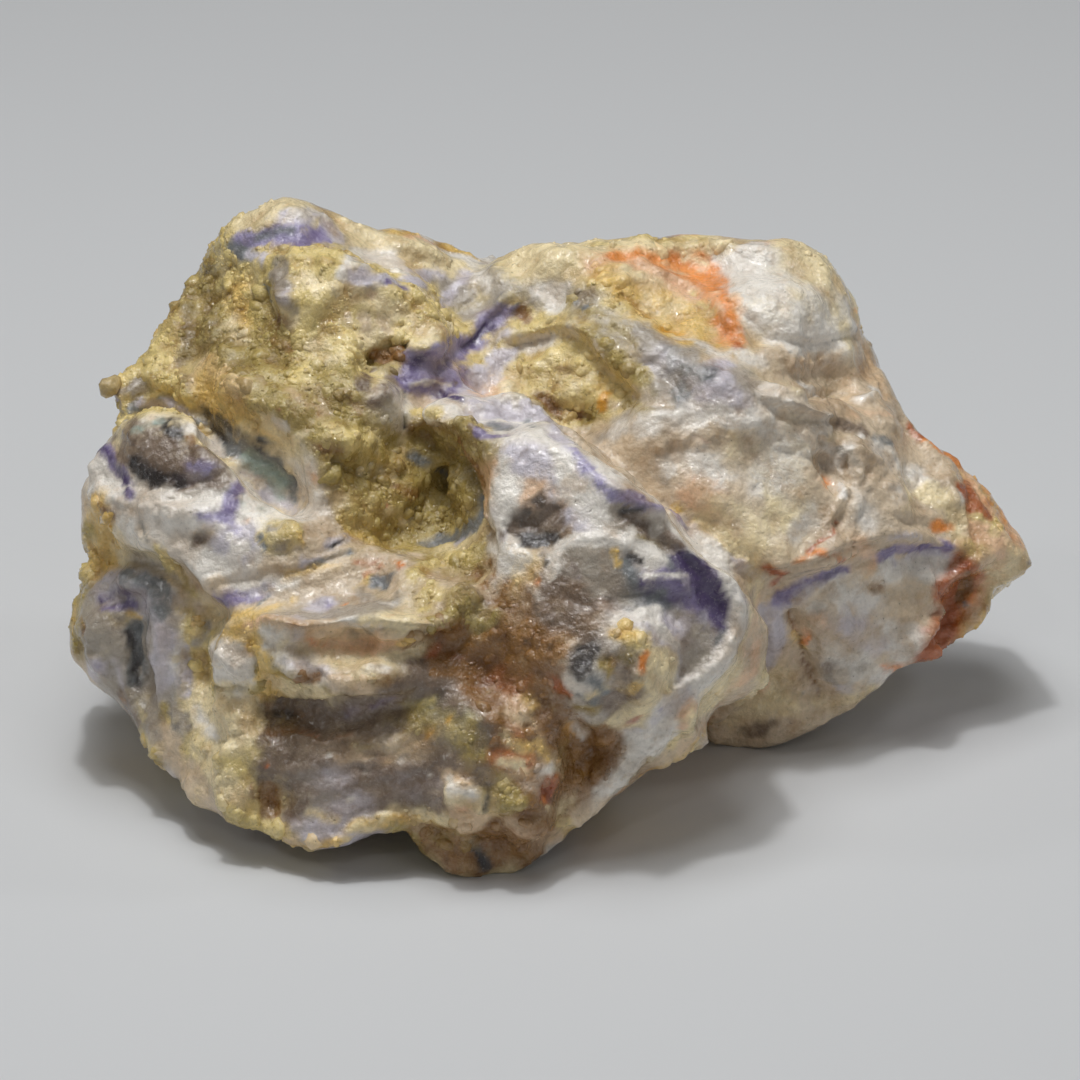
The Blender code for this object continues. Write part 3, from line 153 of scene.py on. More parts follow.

# The markings in the order they lie on the stone, a row each: tint | half width, strength | its path. A path
# gives the places it goes through, each as across,up. A row without bars names the part of the stone that
# comes next.
# After softer stains, the cream row from 28.5,25.5 and the ivory row from 25,14.5 are partly the pale colour
# of the dome's right edge and partly painted light that lifts the shade there.
# After softer stains, the mauve row from 8.5,12.5 and the slate row from 13,19 are partly the grey of that
# lobe and partly painted shade.
# After softer stains, the olive row from -9.5,10.5 and the gold row from -9,9.5 are partly the olive of the
# pocket's wall and partly painted light that lifts the shade there.
# After softer stains, the white row from 8,11.5 to 26,11 is partly the white of the dome's face and partly
# painted light that lifts the shade under the rim.
# In the dome, the taupe row from 7,11 to 13,12 is painted shadow: the shade under the rim's overhang laid in
# as colour.
# softer stains and patches, with some painted light and shade
MARKINGS = """
ground
olive | 7 0.4 | -31.3,29.3 -34.7,22 -30.7,16 -24.7,12.7
straw | 6 1 | -22,26.7 -14.7,22 -21.3,18.7
cream | 2.8 1 | -29.3,32.7 -24.7,34 -19.3,31.7 -14.7,29.7 -9.7,28.3
olive | 5 0.8 | -20.7,11.3 -18,6 -13,2 -8.7,6
straw | 2.6 1 | -38,21 -40,18 -42.3,16
white | 4.2 1 | -44.7,7.3 -41.3,4 -37,2 -32,4 -29.3,0 -34,-1
white | 2.2 1 | -24,7.7 -23.3,5 -22,2.3
mauve | 3.2 1 | -44,-6.7 -44.7,-11.3 -42,-14.7 -38,-12.7 -37,-17.3
gold | 1.9 1 | -44.3,3.3 -43.7,0.7 -44,-2
olive | 1.2 1 | -46,-5 -46.7,-8.7 -46.3,-11.3
ivory | 3.6 0.9 | -34,-5.7 -28,-3.3 -21.3,-3.7 -14.7,-3 -8.7,-5
straw | 3.2 1 | -33.7,-11.3 -32,-17.3 -30,-22 -30,-27.3 -34.3,-24.7
olive | 2.4 0.6 | -26.7,-12 -24.7,-14 -20.7,-13.7 -15.3,-13
taupe | 4.6 1 | -24.7,-21.3 -18,-24 -10.7,-22 -7.3,-17.3 -14.7,-18 -22.7,-19.3
brown | 4 0.9 | -8,-10 -3.3,-12.7 -1.3,-16 -3.3,-19.3
brown | 2.6 0.45 | -3.7,-19.5 -0.6,-17.5 0.4,-19.8 -1.7,-22.6
brown | 3 0.8 | -4.7,-9.8 0.4,-10.3 1.9,-7.3 4,-4.7
brown | 2.8 1 | 4,-22.1 6.5,-20.8 -1.1,-30.2 -4.7,-30.2
brown | 2.6 0.9 | -10.1,-29.7 -7,-31.5
brown | 2.2 0.5 | -3.7,-25.6 -0.6,-27.2 2.4,-27.2
white | 3.6 1 | -6.8,13.6 -2.4,11.5 1.9,9 5.2,5.4 9.1,2.8 16.7,-1
white | 2.2 1 | -3.7,4.5 -4.7,1.7 -3.7,-2.4
lavender | 3.4 0.5 | 9.1,-5.2 11.6,-6.8 15.2,-9.8 14.2,-13.4
taupe | 2.4 0.7 | 8.6,-10.3 7.8,-14.4 5.5,-16.4 9.6,-16.4
cream | 1.8 1 | 12.6,-12.9 11.9,-16.4 8.6,-18.5
white | 1.9 1 | 14.9,-0.1 17.5,-2.4 19.3,-4.7 20,-8.3 18.8,-11.9 15.4,-14.4 12.9,-17 \
11.6,-19.8 8.3,-22.6 5.2,-25.9
ivory | 1.5 1 | 21.3,-9.3 20.5,-14.4 18,-17.5 14.2,-21 10.3,-23.8 6.5,-26.4 3.4,-28.2
cream | 3 1 | -3.7,28.9 0.4,28.6 4,29.4 6.5,28.3
cream | 2.2 1 | 4,28 8.7,29 15.3,29.3 22,29.3 26.7,28.3
mauve | 3 0.75 | 0.4,24.8 4,23.2 9.1,20.7 14.2,17.6 16.7,15.1
straw | 3.2 0.8 | -1.1,19.2 2.7,19.7 4,17.1 0.9,15.6 6,14.3
cream | 2.6 0.8 | 9.1,25.3 12.9,23.8 12.9,21.7
mauve | 3 0.8 | 11.3,12.7 16.7,13.3 20.7,15.3
ivory | 5 1 | 14.7,8.7 22,9.3 26.7,6.7 19.3,4 24,0.7
white | 3.2 1 | 20.7,27 23.3,25.3 27,23 29.7,22.7
ivory | 2.6 1 | 23.3,17.7 27.3,17.3 32,19.3 33.3,15.3
ivory | 3.8 1 | 28,14 32,13.3 34,10.7 30.7,5.3 37.3,6.7 40.7,4.7 35.3,2
ivory | 4.2 1 | 27.3,-4.7 33.3,-4.7 38.7,-3.7 36.7,-9.3 31.3,-8 26,-10.3 31.3,-13.7
orange | 3.4 0.35 | 41.3,10 43.7,5.7 46.3,2.3 48,-1 45.3,-2
rust | 2.6 0.8 | 42.3,-3.3 41.3,-7 39.7,-10.3 38.7,-11.7
crown
dark olive | 3.4 0.5 | -33.7,26 -32.7,21 -29.3,17.3
olive | 2.6 0.6 | -28,16 -22.7,10.7
gold | 1.5 0.8 | -33.7,17.3 -29.3,12.7 -26,10.3
gold | 1.6 0.6 | -30.7,25 -29.3,22
cream | 1.4 1 | -29.3,32.3 -26.7,33.7 -24,34.3
cream | 1.2 1 | -20,31.7 -18,30.3 -16,29.3
cream | 2.4 0.8 | -18,24.7 -14.3,22.7 -17.3,20.3
cream | 1.3 0.8 | -23.3,26 -21.3,24.7
olive | 1.5 0.5 | -26.7,17.3 -22.7,18.7 -19.3,17.3
lavender | 1.3 1 | -25,32.3 -21.7,32.7 -20.7,30.7
white | 0.8 1 | -24.3,32.8 -22.7,33 -21.3,32.5
lilac | 1.3 1 | -29.8,29.2 -27.3,30.3 -24.7,30.5 -22,30.2
slate | 0.6 0.7 | -28,30.3 -26.2,30.8 -24.7,30.9
violet | 0.8 0.8 | -24.7,29.7 -22.3,30.5
slate | 0.9 0.9 | -30.7,28.8 -28.3,28.4
lavender | 0.6 1 | -28.8,28.5 -27.7,28.3
mauve | 1.5 1 | -26.5,27 -26.1,24.7 -25.5,23.2
slate | 0.5 0.9 | -27.3,25.3 -26.5,23 -25,21.7
lavender | 0.8 0.6 | -25.7,24 -25.3,25
brown | 0.6 0.7 | -24.7,21.7 -26.7,22.3
white | 1.3 1 | -19.3,27 -18,28.2 -15.3,28.5 -13.3,27.3
lavender | 1 1 | -18.3,26.3 -15,26 -12.7,25.8 -10.3,26.8
violet | 0.45 0.9 | -15.2,25.7 -13.5,25.2
lavender | 0.6 0.9 | -12.7,27.1 -10,26.3
cream | 0.9 0.8 | -12.7,25 -10.7,24.3
gold | 1 0.9 | -15.2,31 -12,30.5 -8.7,29.2 -6.8,28.3
peach | 0.8 0.7 | -12.7,30.2 -10.7,29.7
dark olive | 0.7 0.6 | -35,23.3 -36,17.3 -34.7,14.3
straw | 1 0.9 | -40.2,17.8 -37.8,18.7
olive | 0.9 0.7 | -41.7,13.5 -39.7,15.3
mauve | 0.9 0.9 | -43,14.7 -41.3,14.7 -40.2,15.6
lilac | 0.35 0.8 | -43.2,14.6 -42,13.7
white | 0.6 1 | -26.7,11.9 -25.6,11.2
cream | 0.45 1 | -24.7,9.9 -23.3,10.8
rust | 0.35 1 | -22.2,12.6
olive | 1.2 0.9 | -17.3,18 -15.7,18.7 -14,19.5
brown | 0.7 1 | -15.7,18 -14.3,18.7
taupe | 1.3 0.6 | -16.3,14.2 -14.7,15.8
white | 0.5 0.8 | -16.3,14.7
mauve | 0.9 0.8 | -14.7,15.3
taupe | 0.7 0.8 | -17,16.7 -18,15.3
olive | 0.9 0.9 | -22,17 -21.3,16
brown | 0.55 0.8 | -26,13
olive | 0.7 0.9 | -29.5,18.5
olive | 0.9 0.4 | -17.3,25 -16,25.4
tan | 1 0.6 | -17,24.3
mauve | 1.9 1 | -8.7,25.3 -6.7,22.7 -4.3,24.7
lavender | 0.8 0.8 | -9.7,23.7 -7.3,26.7
cream | 1.3 0.9 | -9,21.2 -12,20.3
white | 0.9 0.7 | -6.3,27 -5,25
slate | 1 0.7 | -4,24.3 -2.7,23.3
brown | 0.6 1 | -1.8,22.8 -1.3,22
charcoal | 0.28 0.7 | -13.6,19.7 -13.5,14.7 -13.5,11.5
purple hollow
violet | 1.6 0.7 | -13,17.3 -9.7,18 -6.3,20.3 -4,22.3
violet | 1.3 1 | -13,16 -10,15.3 -7,15.7
lilac | 1 0.9 | -12.7,18.2 -9.7,18.7 -6.7,20.3 -4.3,22.2
deep violet | 0.7 1 | -12.8,17.3 -11.8,18.3
deep violet | 0.6 1 | -7.7,19.2 -5,21.3
deep violet | 0.65 1 | -10.2,14.7 -8,14
lilac | 0.8 0.7 | -11.7,16.8 -8.3,17
white | 0.35 0.9 | -12.7,15.6 -10.3,15.9 -9,15.6
taupe | 0.4 0.8 | -8.5,15.6
lavender | 1.3 0.9 | -7,14.7 -5.7,16.3 -4,18.3 -3.2,20
lavender | 1.5 1 | -6.7,12.7 -3.7,12.7 -0.7,13
cream | 1.1 1 | -3.2,15.3
slate | 0.9 0.8 | -4.7,11.5 -3.7,11.2
violet | 0.6 0.7 | -6.8,11.5 -5.8,10.7
olive hollow
straw | 1.8 0.7 | -20.7,10.7 -18,9.7
straw | 0.9 0.9 | -12.7,12.7 -10.7,12.7
straw | 1.7 0.6 | -19.3,4 -18,2.3 -16,4
brown | 0.9 0.9 | -12.3,11.2 -10.3,11.3 -9,10.5
olive | 1.9 0.7 | -11.7,10 -10,8.3 -8,9.3
olive | 1.1 0.7 | -20,7.7 -18,6 -16,5.7
dark olive | 1.2 0.9 | -7.3,7.3 -5.8,5 -7,2.3
brown | 0.8 0.7 | -22.7,9.7 -20.3,8.7
brown | 0.8 0.7 | -14.3,5 -12.7,4.5
rust | 0.25 1 | -15.2,3.5
slate | 0.8 0.6 | -12.7,8.3 -10,7 -8.3,6
mauve | 0.6 0.5 | -14.7,6.7 -16,7.3
slate | 0.9 0.8 | -5.7,4 -6.3,1.7 -8.7,0 -11.3,-0.5
lavender | 0.5 0.6 | -8.3,-0.3 -6.7,0.7
brown | 0.4 0.9 | -8.5,10.2 -6.8,8 -5.5,5.3
cream | 0.5 0.9 | -13.7,1.7
cream | 0.4 0.8 | -18,6.7
peach | 0.7 0.5 | -23.2,7 -22.3,5.8
cream | 1 0.7 | -21.3,5 -19.7,4
left knob
taupe | 2.5 1 | -42,10 -39.3,8.7 -36.3,7.3 -33.7,6.7
charcoal | 1 0.75 | -40.8,8 -39.3,6.5 -36.7,6
charcoal | 0.8 0.9 | -38,11.5 -36,10.5 -36.3,11.8
violet | 0.6 0.5 | -36.3,6.2 -33.7,6.3 -32.3,7.5
mauve | 1 0.7 | -34.7,7 -32.7,7.7
cream | 1.2 0.8 | -42,11.3 -41,10.3 -42.3,9.7
ivory | 0.8 0.8 | -40.5,11.2 -40.2,10.2
ivory | 0.7 0.5 | -39,12 -38.3,11.2
slate | 0.8 0.8 | -40.8,13 -38.3,14 -36,13 -34.3,12.2
lavender | 0.6 1 | -39.7,13.8 -37,13.6 -35.2,12.4
violet | 0.3 0.8 | -38.3,13.3 -36.5,12.8
white | 1.1 1 | -34.5,11 -33,10 -32.2,9.2
brown | 0.5 0.7 | -34.8,10.3 -34.7,7.3
taupe | 0.5 0.6 | -33.7,8.7 -34.7,9.3
charcoal | 0.9 1 | -33.3,12.7 -31.7,10.7 -29.3,8.8
charcoal | 0.7 0.9 | -29.3,8.7 -26.7,7.5 -25,6.2
slate | 0.8 0.8 | -31.3,9.3 -28,7.3
lavender | 1.7 0.8 | -29.7,6.7 -27.7,5.3 -25.7,4.3
sea | 1.2 0.6 | -30,4.3 -27.7,3.3
slate | 0.5 0.8 | -25,6 -24.5,4
violet | 0.75 1 | -44.3,9.3 -43,8.2 -41.7,6.3 -41.1,4.8
deep violet | 0.45 1 | -42.2,7 -41.3,5.2
deep violet | 0.4 0.8 | -44.2,9.3 -43,8.3
white | 0.7 0.8 | -39.3,3.2 -35.3,3 -32.3,2.3
violet | 0.3 0.7 | -39.2,3.8 -37,3.7
violet | 0.35 0.6 | -36,2.7 -34,2.5
lilac | 0.9 0.8 | -32,2.7 -30.7,4.3 -29.8,5.5
violet | 0.4 0.8 | -31.3,3 -30.2,5
lavender | 0.8 0.5 | -36.3,0 -32.3,-1
ivory | 1.1 0.9 | -35,0 -33.3,0.4
mauve | 0.55 0.8 | -34.7,-0.1 -33.7,0.6
ivory | 1 0.5 | -39.7,0.7 -38,-0.7
slate | 0.35 0.5 | -40,2 -39.3,0
lavender | 1 0.7 | -29.3,0.7 -28.7,-1
peach | 0.5 0.4 | -29.3,1.7
straw | 1.9 1 | -26.7,0.7 -25,0.7
mauve | 1 0.8 | -27,1 -26,-0.3
gold | 0.5 0.8 | -24.8,1.3 -23.7,-0.2
slate | 0.4 0.9 | -27.8,0.3 -27.5,-0.7
ivory | 1.2 0.9 | -21.3,1.7 -22.7,0
far left
olive | 1.2 0.8 | -45,0.7 -43.7,-1
gold | 1.3 0.8 | -43.3,2.3 -42.7,-0.3 -44.3,-1.7
brown | 0.8 0.7 | -44,3.3 -42.7,2.3
cream | 0.5 0.7 | -42,0.3 -42.7,-0.7
brown | 0.5 0.9 | -45.9,-8 -45.8,-9.5
gold | 0.6 0.7 | -46.3,-6.7 -46.7,-9
straw | 0.8 0.8 | -45.3,-2.3 -45.7,-4
low left knob
lavender | 1.3 0.6 | -43,-3.7 -40.3,-3 -37.7,-4 -36.5,-6.3
slate | 0.7 0.7 | -41.7,-3.5 -38.3,-4 -37,-5.7
slate | 1.1 0.8 | -38,-6.7 -39.7,-9
taupe | 1.3 0.9 | -43.7,-5.7 -41.3,-5.5 -39.3,-5.7
violet | 0.7 0.7 | -43.8,-5.5 -42.7,-5.3
charcoal | 0.5 0.9 | -42.7,-6.4 -40.8,-6.4
gold | 0.5 0.8 | -41.3,-7.3 -40.2,-7.7
straw | 0.6 0.7 | -43,-7.7 -41.7,-8
mauve | 0.9 0.9 | -44.8,-5.7 -45,-8 -44.3,-10
slate | 1.3 0.5 | -40,-9 -39.7,-12.7 -40.3,-14.7
slate | 0.8 0.5 | -40.8,-9 -40.4,-11.3 -40.6,-14
lavender | 1.1 0.9 | -44.3,-12.7 -45.2,-13.7
lilac | 0.5 0.5 | -44.3,-12.7
peach | 0.6 0.6 | -46,-13.2 -45.5,-14
taupe | 0.9 0.9 | -41.8,-15.3 -41.3,-17 -40.2,-18.3
brown | 0.5 0.8 | -41.7,-16
lavender | 1 0.5 | -38,-9.7 -37.3,-14
slate | 0.3 0.7 | -38.3,-10.7 -38.6,-14.3
slate | 0.3 0.7 | -36.5,-10.7 -36.1,-14.3
slate | 0.5 0.7 | -36.7,-18.7 -36.3,-21
olive | 0.9 0.8 | -37.7,-17 -38,-20 -38.3,-22.3
straw | 0.6 0.8 | -37.3,-18 -38,-21.3
lavender | 0.7 0.7 | -35.6,-10.7 -35.3,-15.3
straw | 0.9 0.9 | -38,-1.3 -36,-3.7 -34.7,-5.7
olive | 0.5 0.8 | -36.7,-2 -35,-5
straw | 0.7 0.7 | -36.5,-7.3 -35,-7.3 -35.7,-9.7
sea | 0.6 0.4 | -37,-12.7 -36.7,-15.3
shelf
white | 1.4 0.8 | -36,-1.7 -32,-2 -29.3,-2.3
white | 1 0.8 | -30.7,-4.7 -27.3,-4.5 -24.7,-4
lilac | 0.9 1 | -32,-5.9 -30,-5.7 -28.5,-5.5
deep violet | 0.45 0.8 | -31.7,-6 -30.7,-5.7
slate | 0.3 0.8 | -27.6,-4.7 -27.3,-5.7 -28,-6.4
lavender | 0.7 0.8 | -23.3,-2.2 -20.7,-0.3 -19.3,0
charcoal | 0.35 0.8 | -21.7,-1.2 -19.7,0
slate | 0.5 0.9 | -22.7,-2.5 -19,-1.2
charcoal | 0.3 0.6 | -20.3,-1.5 -19.3,-1.2
ivory | 0.3 0.8 | -23.3,-1.5 -21.3,-1.2
slate | 0.7 0.7 | -11.3,-0.2 -8.7,0.7 -6.3,1.3
ivory | 0.9 0.9 | -22,-3.7 -19,-2.8 -16,-2 -12.7,-1.5
slate | 0.4 0.5 | -15.3,-1.7 -13.3,-1.5
orange | 0.7 0.7 | -17.3,-3.5 -16,-2.8
orange | 0.5 0.8 | -14.7,-2.3 -13.9,-2.5
rust | 0.3 0.8 | -17.6,-3.7 -16,-2.7
gold | 0.6 0.7 | -18.3,-4.7 -16.7,-4
mauve | 0.6 0.9 | -17.8,-5 -17,-6.3 -15.5,-6.7 -14.3,-5.7
slate | 0.7 1 | -16.2,-4.2 -15.3,-4.8
deep violet | 0.4 0.9 | -16,-4.2
straw | 0.8 0.9 | -12.7,-3 -10,-2 -7.3,-1.2
straw | 1.5 0.8 | -12,-3.7 -11,-5.7
white | 0.6 0.6 | -8.3,-4.7
olive | 1 0.7 | -8.7,-7.3 -11,-8
dark olive | 1.3 0.6 | -7,-4 -7.7,-7.3 -6,-8.7
taupe | 1.2 0.6 | -5.7,-5.7 -5,-8
lavender | 1.1 0.9 | -21.7,-6 -22.3,-6.7
lilac | 0.5 0.8 | -21.3,-6.3
orange | 0.3 1 | -19.6,-6.3
rust | 0.3 0.8 | -14.7,-7.6 -15.2,-7.7
cream | 0.8 0.8 | -23.3,-9.3 -20.7,-8.7 -16.3,-8.4 -11.7,-8.3
white | 0.4 0.9 | -22.7,-9 -19.7,-8.5 -16,-8.7
gold | 0.5 0.5 | -34,-8 -28,-7.3 -24.7,-6
peach | 0.8 0.5 | -29.3,-8.7 -26.7,-7.7
white | 1.1 1 | -26.7,-9.8 -24,-9.7 -25,-11
brown | 0.8 0.8 | -18.7,-10.7 -14.7,-10.5 -12.7,-10
gold | 0.55 0.8 | -23,-10.2 -19.7,-10.4 -16.3,-10.7 -13.3,-10.2
orange | 0.4 1 | -22.7,-10.2
mauve | 1.1 0.8 | -24,-11.7 -21.7,-12.7 -24,-12.7
lavender | 0.6 0.6 | -22.7,-11.3
orange | 0.4 0.7 | -22.6,-13.7
brown | 1.1 0.45 | -17,-14 -14.7,-14
white | 0.7 0.8 | -17,-12.5 -15.2,-12.8
orange | 0.35 1 | -27.3,-16.7
taupe | 1.2 0.6 | -13,-12.7 -10.7,-12.7
left edge
mauve | 0.7 0.8 | -33.3,-8.7 -34.3,-10.3
olive | 0.5 0.6 | -33.7,-9
white | 1.7 1 | -32.7,-10.7 -30.8,-12.7 -31.2,-13.7
charcoal | 0.35 1 | -32.1,-11.2
slate | 0.5 0.5 | -33,-10
olive | 0.8 0.9 | -33.3,-14.3 -31.3,-15 -29,-14.7
olive | 0.6 0.7 | -28.7,-12.7 -28,-14.7
straw | 1.2 0.7 | -32,-18.7 -33.3,-19.3
mauve | 0.6 0.8 | -33.3,-18
olive | 0.8 0.6 | -28,-17.3 -29.3,-20
straw | 1.4 0.6 | -30.7,-21.3 -32.7,-22.7
olive | 1.3 0.7 | -34.7,-23.3 -34,-25.7
olive | 1.2 0.6 | -32,-26.7 -29.3,-28.3
olive | 0.5 0.6 | -30.7,-26
peach | 0.4 0.7 | -35,-25.3
gold | 0.9 0.5 | -32.3,-16.7 -29.3,-17
slab
taupe | 1.4 0.8 | -26.7,-16.7 -22.7,-17.3 -18,-17.3 -13,-15.7 -9.7,-14.7
violet | 0.8 0.45 | -19.3,-17.3 -16,-16.3 -14.3,-15.7
charcoal | 0.6 0.7 | -26.3,-17.3 -24,-17.8
rust | 0.5 0.6 | -24,-19 -21.3,-19.7 -19,-19.3
brown | 0.8 0.6 | -26.7,-19.3 -24.7,-18.7
gold | 1 0.55 | -17.3,-21.5 -13,-20.2 -11.3,-18
charcoal | 1.2 0.5 | -11.7,-16 -8.3,-15.7
orange | 0.4 0.6 | -16,-21.7 -14.7,-21.6
straw | 0.5 0.6 | -12.7,-16.7 -10.7,-16
slate | 1.4 0.5 | -8,-18 -5,-18.7 -6.3,-20.7
slate | 1 0.35 | -12.7,-22.7 -8.7,-22
olive | 0.7 0.6 | -18.7,-20.3 -17.3,-20.7
taupe | 1.6 0.5 | -24.7,-27 -23.3,-24 -19.7,-22.3
lavender | 1.2 0.3 | -21.3,-22.3 -19.7,-24
brown | 0.95 1 | -27.3,-25 -26.7,-27
rust | 0.4 0.7 | -27.3,-22.7
taupe | 1.2 0.5 | -18,-26 -12,-25
gold | 0.75 0.9 | -26.7,-30 -23.3,-30.8 -20.3,-30.3 -18,-28.5 -14.7,-27.8 -10.7,-27.8
gold | 0.5 0.7 | -19.3,-28.7 -16,-27.8 -12,-27.8
rough ground
rust | 1.5 0.55 | -10,-11.7 -5.3,-12.7 -2,-14.7
brown | 1 0.8 | -10.1,-12.8 -6.2,-13 -2.7,-13.5 0.4,-14.2
brown | 1.3 0.7 | -5.2,-10.3 -0.6,-11.3
olive | 1.4 0.6 | -8.3,-5.7 -6.8,-7.8 -4.7,-7.3
brown | 1.6 0.7 | -0.1,-9.3 2.9,-8.3
brown | 1 0.6 | -3.2,-9.3 -0.6,-10.8
orange | 0.9 0.6 | -4.7,-21.7 -2.7,-21.7
cream | 0.8 0.7 | -1.7,-22.3 -2.4,-21
rust | 0.8 0.8 | 2.4,-15.2 1.2,-13.9
cream | 1 0.7 | -1.1,-16.7 0.9,-17
dark olive | 0.7 0.9 | -1.1,-18.6 -1.7,-19.5
charcoal | 1 0.6 | 3.4,-11.9 5.2,-10.6 4,-13.9
slate | 0.9 0.9 | 5.5,-16.4 4.5,-15.9
cream | 0.7 0.9 | 5.2,-15.7 6.3,-14.9
ivory | 1 0.8 | 2.9,-18.5 4.2,-19.3
rust | 0.8 0.5 | -3.2,-15.9 -1.1,-22.1
brown | 1.6 0.8 | 4,-23.8 6.5,-21.6 5.5,-19.8
taupe | 1 0.6 | 2.7,-22.1
rust | 1.2 1 | 0.6,-25.4 1.7,-24.6
orange | 0.6 0.6 | 0.6,-25.9
rust | 0.45 0.9 | 8.6,-18.5 10.1,-17.6
tan | 1.9 1 | -8.8,-24.6 -7.8,-26.1 -7.3,-27.7
peach | 1 0.7 | -6.8,-26.1 -8,-27.2
white | 0.7 0.7 | -8.8,-24.1
olive | 1.7 0.8 | -3.9,-25.1 -2.7,-25.9
charcoal | 0.4 0.8 | -5.2,-25.6 -5.5,-26.9
taupe | 0.9 0.5 | -6.8,-23.3 -4.7,-24.1
brown | 1 0.8 | -10.6,-29.7 -9.3,-31
charcoal | 0.9 1 | -6.5,-30 -5.6,-32.3
brown | 1.8 0.9 | -3.7,-30.7 -0.6,-31.2
rust | 0.7 0.6 | -0.1,-29.7 -2.7,-29.5
straw | 0.9 0.9 | 2.2,-27.9 3.2,-29.7 1.7,-31.2
cream | 0.8 0.7 | 0.4,-27.4 2.9,-26.1
mauve | 0.4 0.8 | 1.9,-30.7 1.4,-32.3
nose
slate | 0.8 0.8 | -4.2,11.5 -3.2,11.1
violet | 0.5 0.7 | -6.2,10.5 -4.7,10.2 -3.2,10.5
lavender | 1.3 0.9 | -3.2,8.4 -1.1,7.7 -1.4,9.2
slate | 0.6 0.8 | -1.1,11.8 -0.4,11.3
lavender | 1 0.9 | -0.1,12.5 1.9,10.5 4,8.2 5.5,5.9
lilac | 0.8 0.6 | 5.5,6.2 7.8,4.4 10.3,4.2
lilac | 0.4 0.8 | 3.4,9 4.7,7.2
violet | 0.4 0.6 | 8,4.4 10.1,4.1
mauve | 0.9 0.6 | -0.1,9 0.9,7.9
lavender | 0.8 0.6 | -4.7,3.1 -3.7,0.3
taupe | 1.5 1 | -2.7,1.4 -0.6,1.2 1.9,1.7
taupe | 0.9 1 | -0.1,3.7 0.9,2.9 1.4,1.7
charcoal | 0.8 1 | -1.4,0 0.9,0
charcoal | 0.5 0.8 | -3.2,0.9 -2.2,0.5
lavender | 0.9 0.6 | 2.9,2.2 4.5,1.4
charcoal | 0.6 0.7 | 0.6,-1.4 0.9,-2.7
mauve | 1.4 0.9 | 8,2.7 10.1,1.7 11.9,-0.1 12.9,-1.1
mauve | 0.5 0.9 | 7.8,3.2 9.8,2.7 11.1,1.7
dark olive | 0.7 0.5 | 9.8,0.6 11.6,-0.4
white | 0.7 1 | 1.4,-0.9 3.4,0.1 6.5,0.4 8.6,-0.4
white | 0.6 1 | 1.2,-2.7 2.4,-2.4 2.7,-3.7
white | 0.9 1 | 10.3,-1.3 11.4,-2.2 12,-1.7
mauve | 1.6 0.8 | 4,-2.4 6.3,-2.2 6.8,-3.7
violet | 0.5 0.6 | 3.3,-2.4 3.8,-3.6
taupe | 2 0.8 | 1.4,-4.7 4,-5.7 2.2,-6.8
brown | 0.5 0.5 | 6.5,-1.7 6.3,-2.7
white | 0.7 0.7 | -1.1,-5 0.1,-6.2 0.4,-7.3
orange | 0.4 0.9 | -0.3,-4.1
slate | 0.9 0.8 | 8.3,-2.4 9.1,-3.9
gold | 0.4 0.9 | 7.5,-1.4 7.7,-2.5
charcoal | 0.4 0.7 | 9.1,-1.8 10,-2.2
charcoal | 0.8 0.7 | 6.8,-5.6 8.8,-5 11.1,-4.7
slate | 1.5 0.7 | 10.1,-6 13.1,-6.2 15.2,-7.3
deep violet | 1.3 0.8 | 11.1,-4.7 13.9,-4.7 16.2,-6
deep violet | 1.3 1 | 15.4,-3.2 17.5,-5 18.2,-7.8
slate | 1 0.8 | 12.6,-2.4 14.2,-1.7 15.4,-2.7
violet | 0.8 0.7 | 12.9,-5.2 15.2,-6.2
violet | 0.7 0.7 | 17.2,-6.8 17.7,-8.8
white | 0.3 0.9 | 11,-3.7 13.1,-3.7 14.7,-3.6
lavender | 0.3 0.8 | 15.4,-6.8 15.6,-8.3
white | 0.3 1 | 5.9,-5.1 6.5,-5.2
white | 0.7 1 | 10.3,-7.5 11.9,-6.9 11.7,-8.3 13.9,-10.3
taupe | 1.3 0.5 | 14.7,-9.8 16.2,-11.6 14.7,-12.9
slate | 0.4 0.6 | 17.5,-10.3 18.6,-8.5 19,-6.5
cream | 0.9 1 | 7.8,-8.8 9.1,-9.3 10.3,-9.8
straw | 1 0.7 | 8,-9.3 10.3,-10.6
dark olive | 0.9 0.7 | 8,-11.3 8.8,-11.9
rust | 0.8 0.5 | 7,-12.8 7.8,-14.2
orange | 0.5 0.8 | 10.7,-11.3 10.3,-13.1
gold | 0.7 0.7 | 9.8,-14.4 8.6,-15.4
slate | 0.6 0.7 | 5.2,-13.9 6.5,-15.2
white | 0.9 0.8 | 12.6,-17 11.4,-19.8 9.1,-22.1
mauve | 0.8 0.5 | 16.2,-11.9 14.9,-14.4
lilac | 0.4 0.6 | 12.2,-17
peach | 0.9 0.6 | 14.2,-18.5 15.2,-16.4
gold | 0.45 0.6 | 17.5,-18.2 14.2,-21.6 10.3,-23.8
rust | 0.3 0.7 | 17.2,-17.7 16.2,-19
slate | 0.25 0.5 | 12.6,-13.4 13.1,-14.9
gold | 0.7 0.9 | 13.7,3.2 14.9,1.8 16.5,1.3
cream | 0.8 0.9 | 17.7,-0.1 20.3,-0.5
lavender | 1 1 | 19.8,-1.9 20.4,-2.4
lilac | 0.5 0.6 | 20,-2
white | 1 0.8 | 20.8,-3.2 21.3,-5 20.8,-6.8
dome
orange | 0.7 0.44 | 8.7,30.4 13,30.7 15.3,30.3
orange | 0.7 0.33 | 18,30.1 22,29.7 25,30.1
gold | 0.6 0.5 | 11.3,30.3 20.7,29.8
cream | 0.9 0.7 | 25.3,29.3 28,28
olive | 0.6 0.9 | -4,27.7
straw | 0.5 0.6 | -4.2,27.6 -3.2,28.1
white | 1.7 0.9 | 0.9,25.3 1.7,23.8
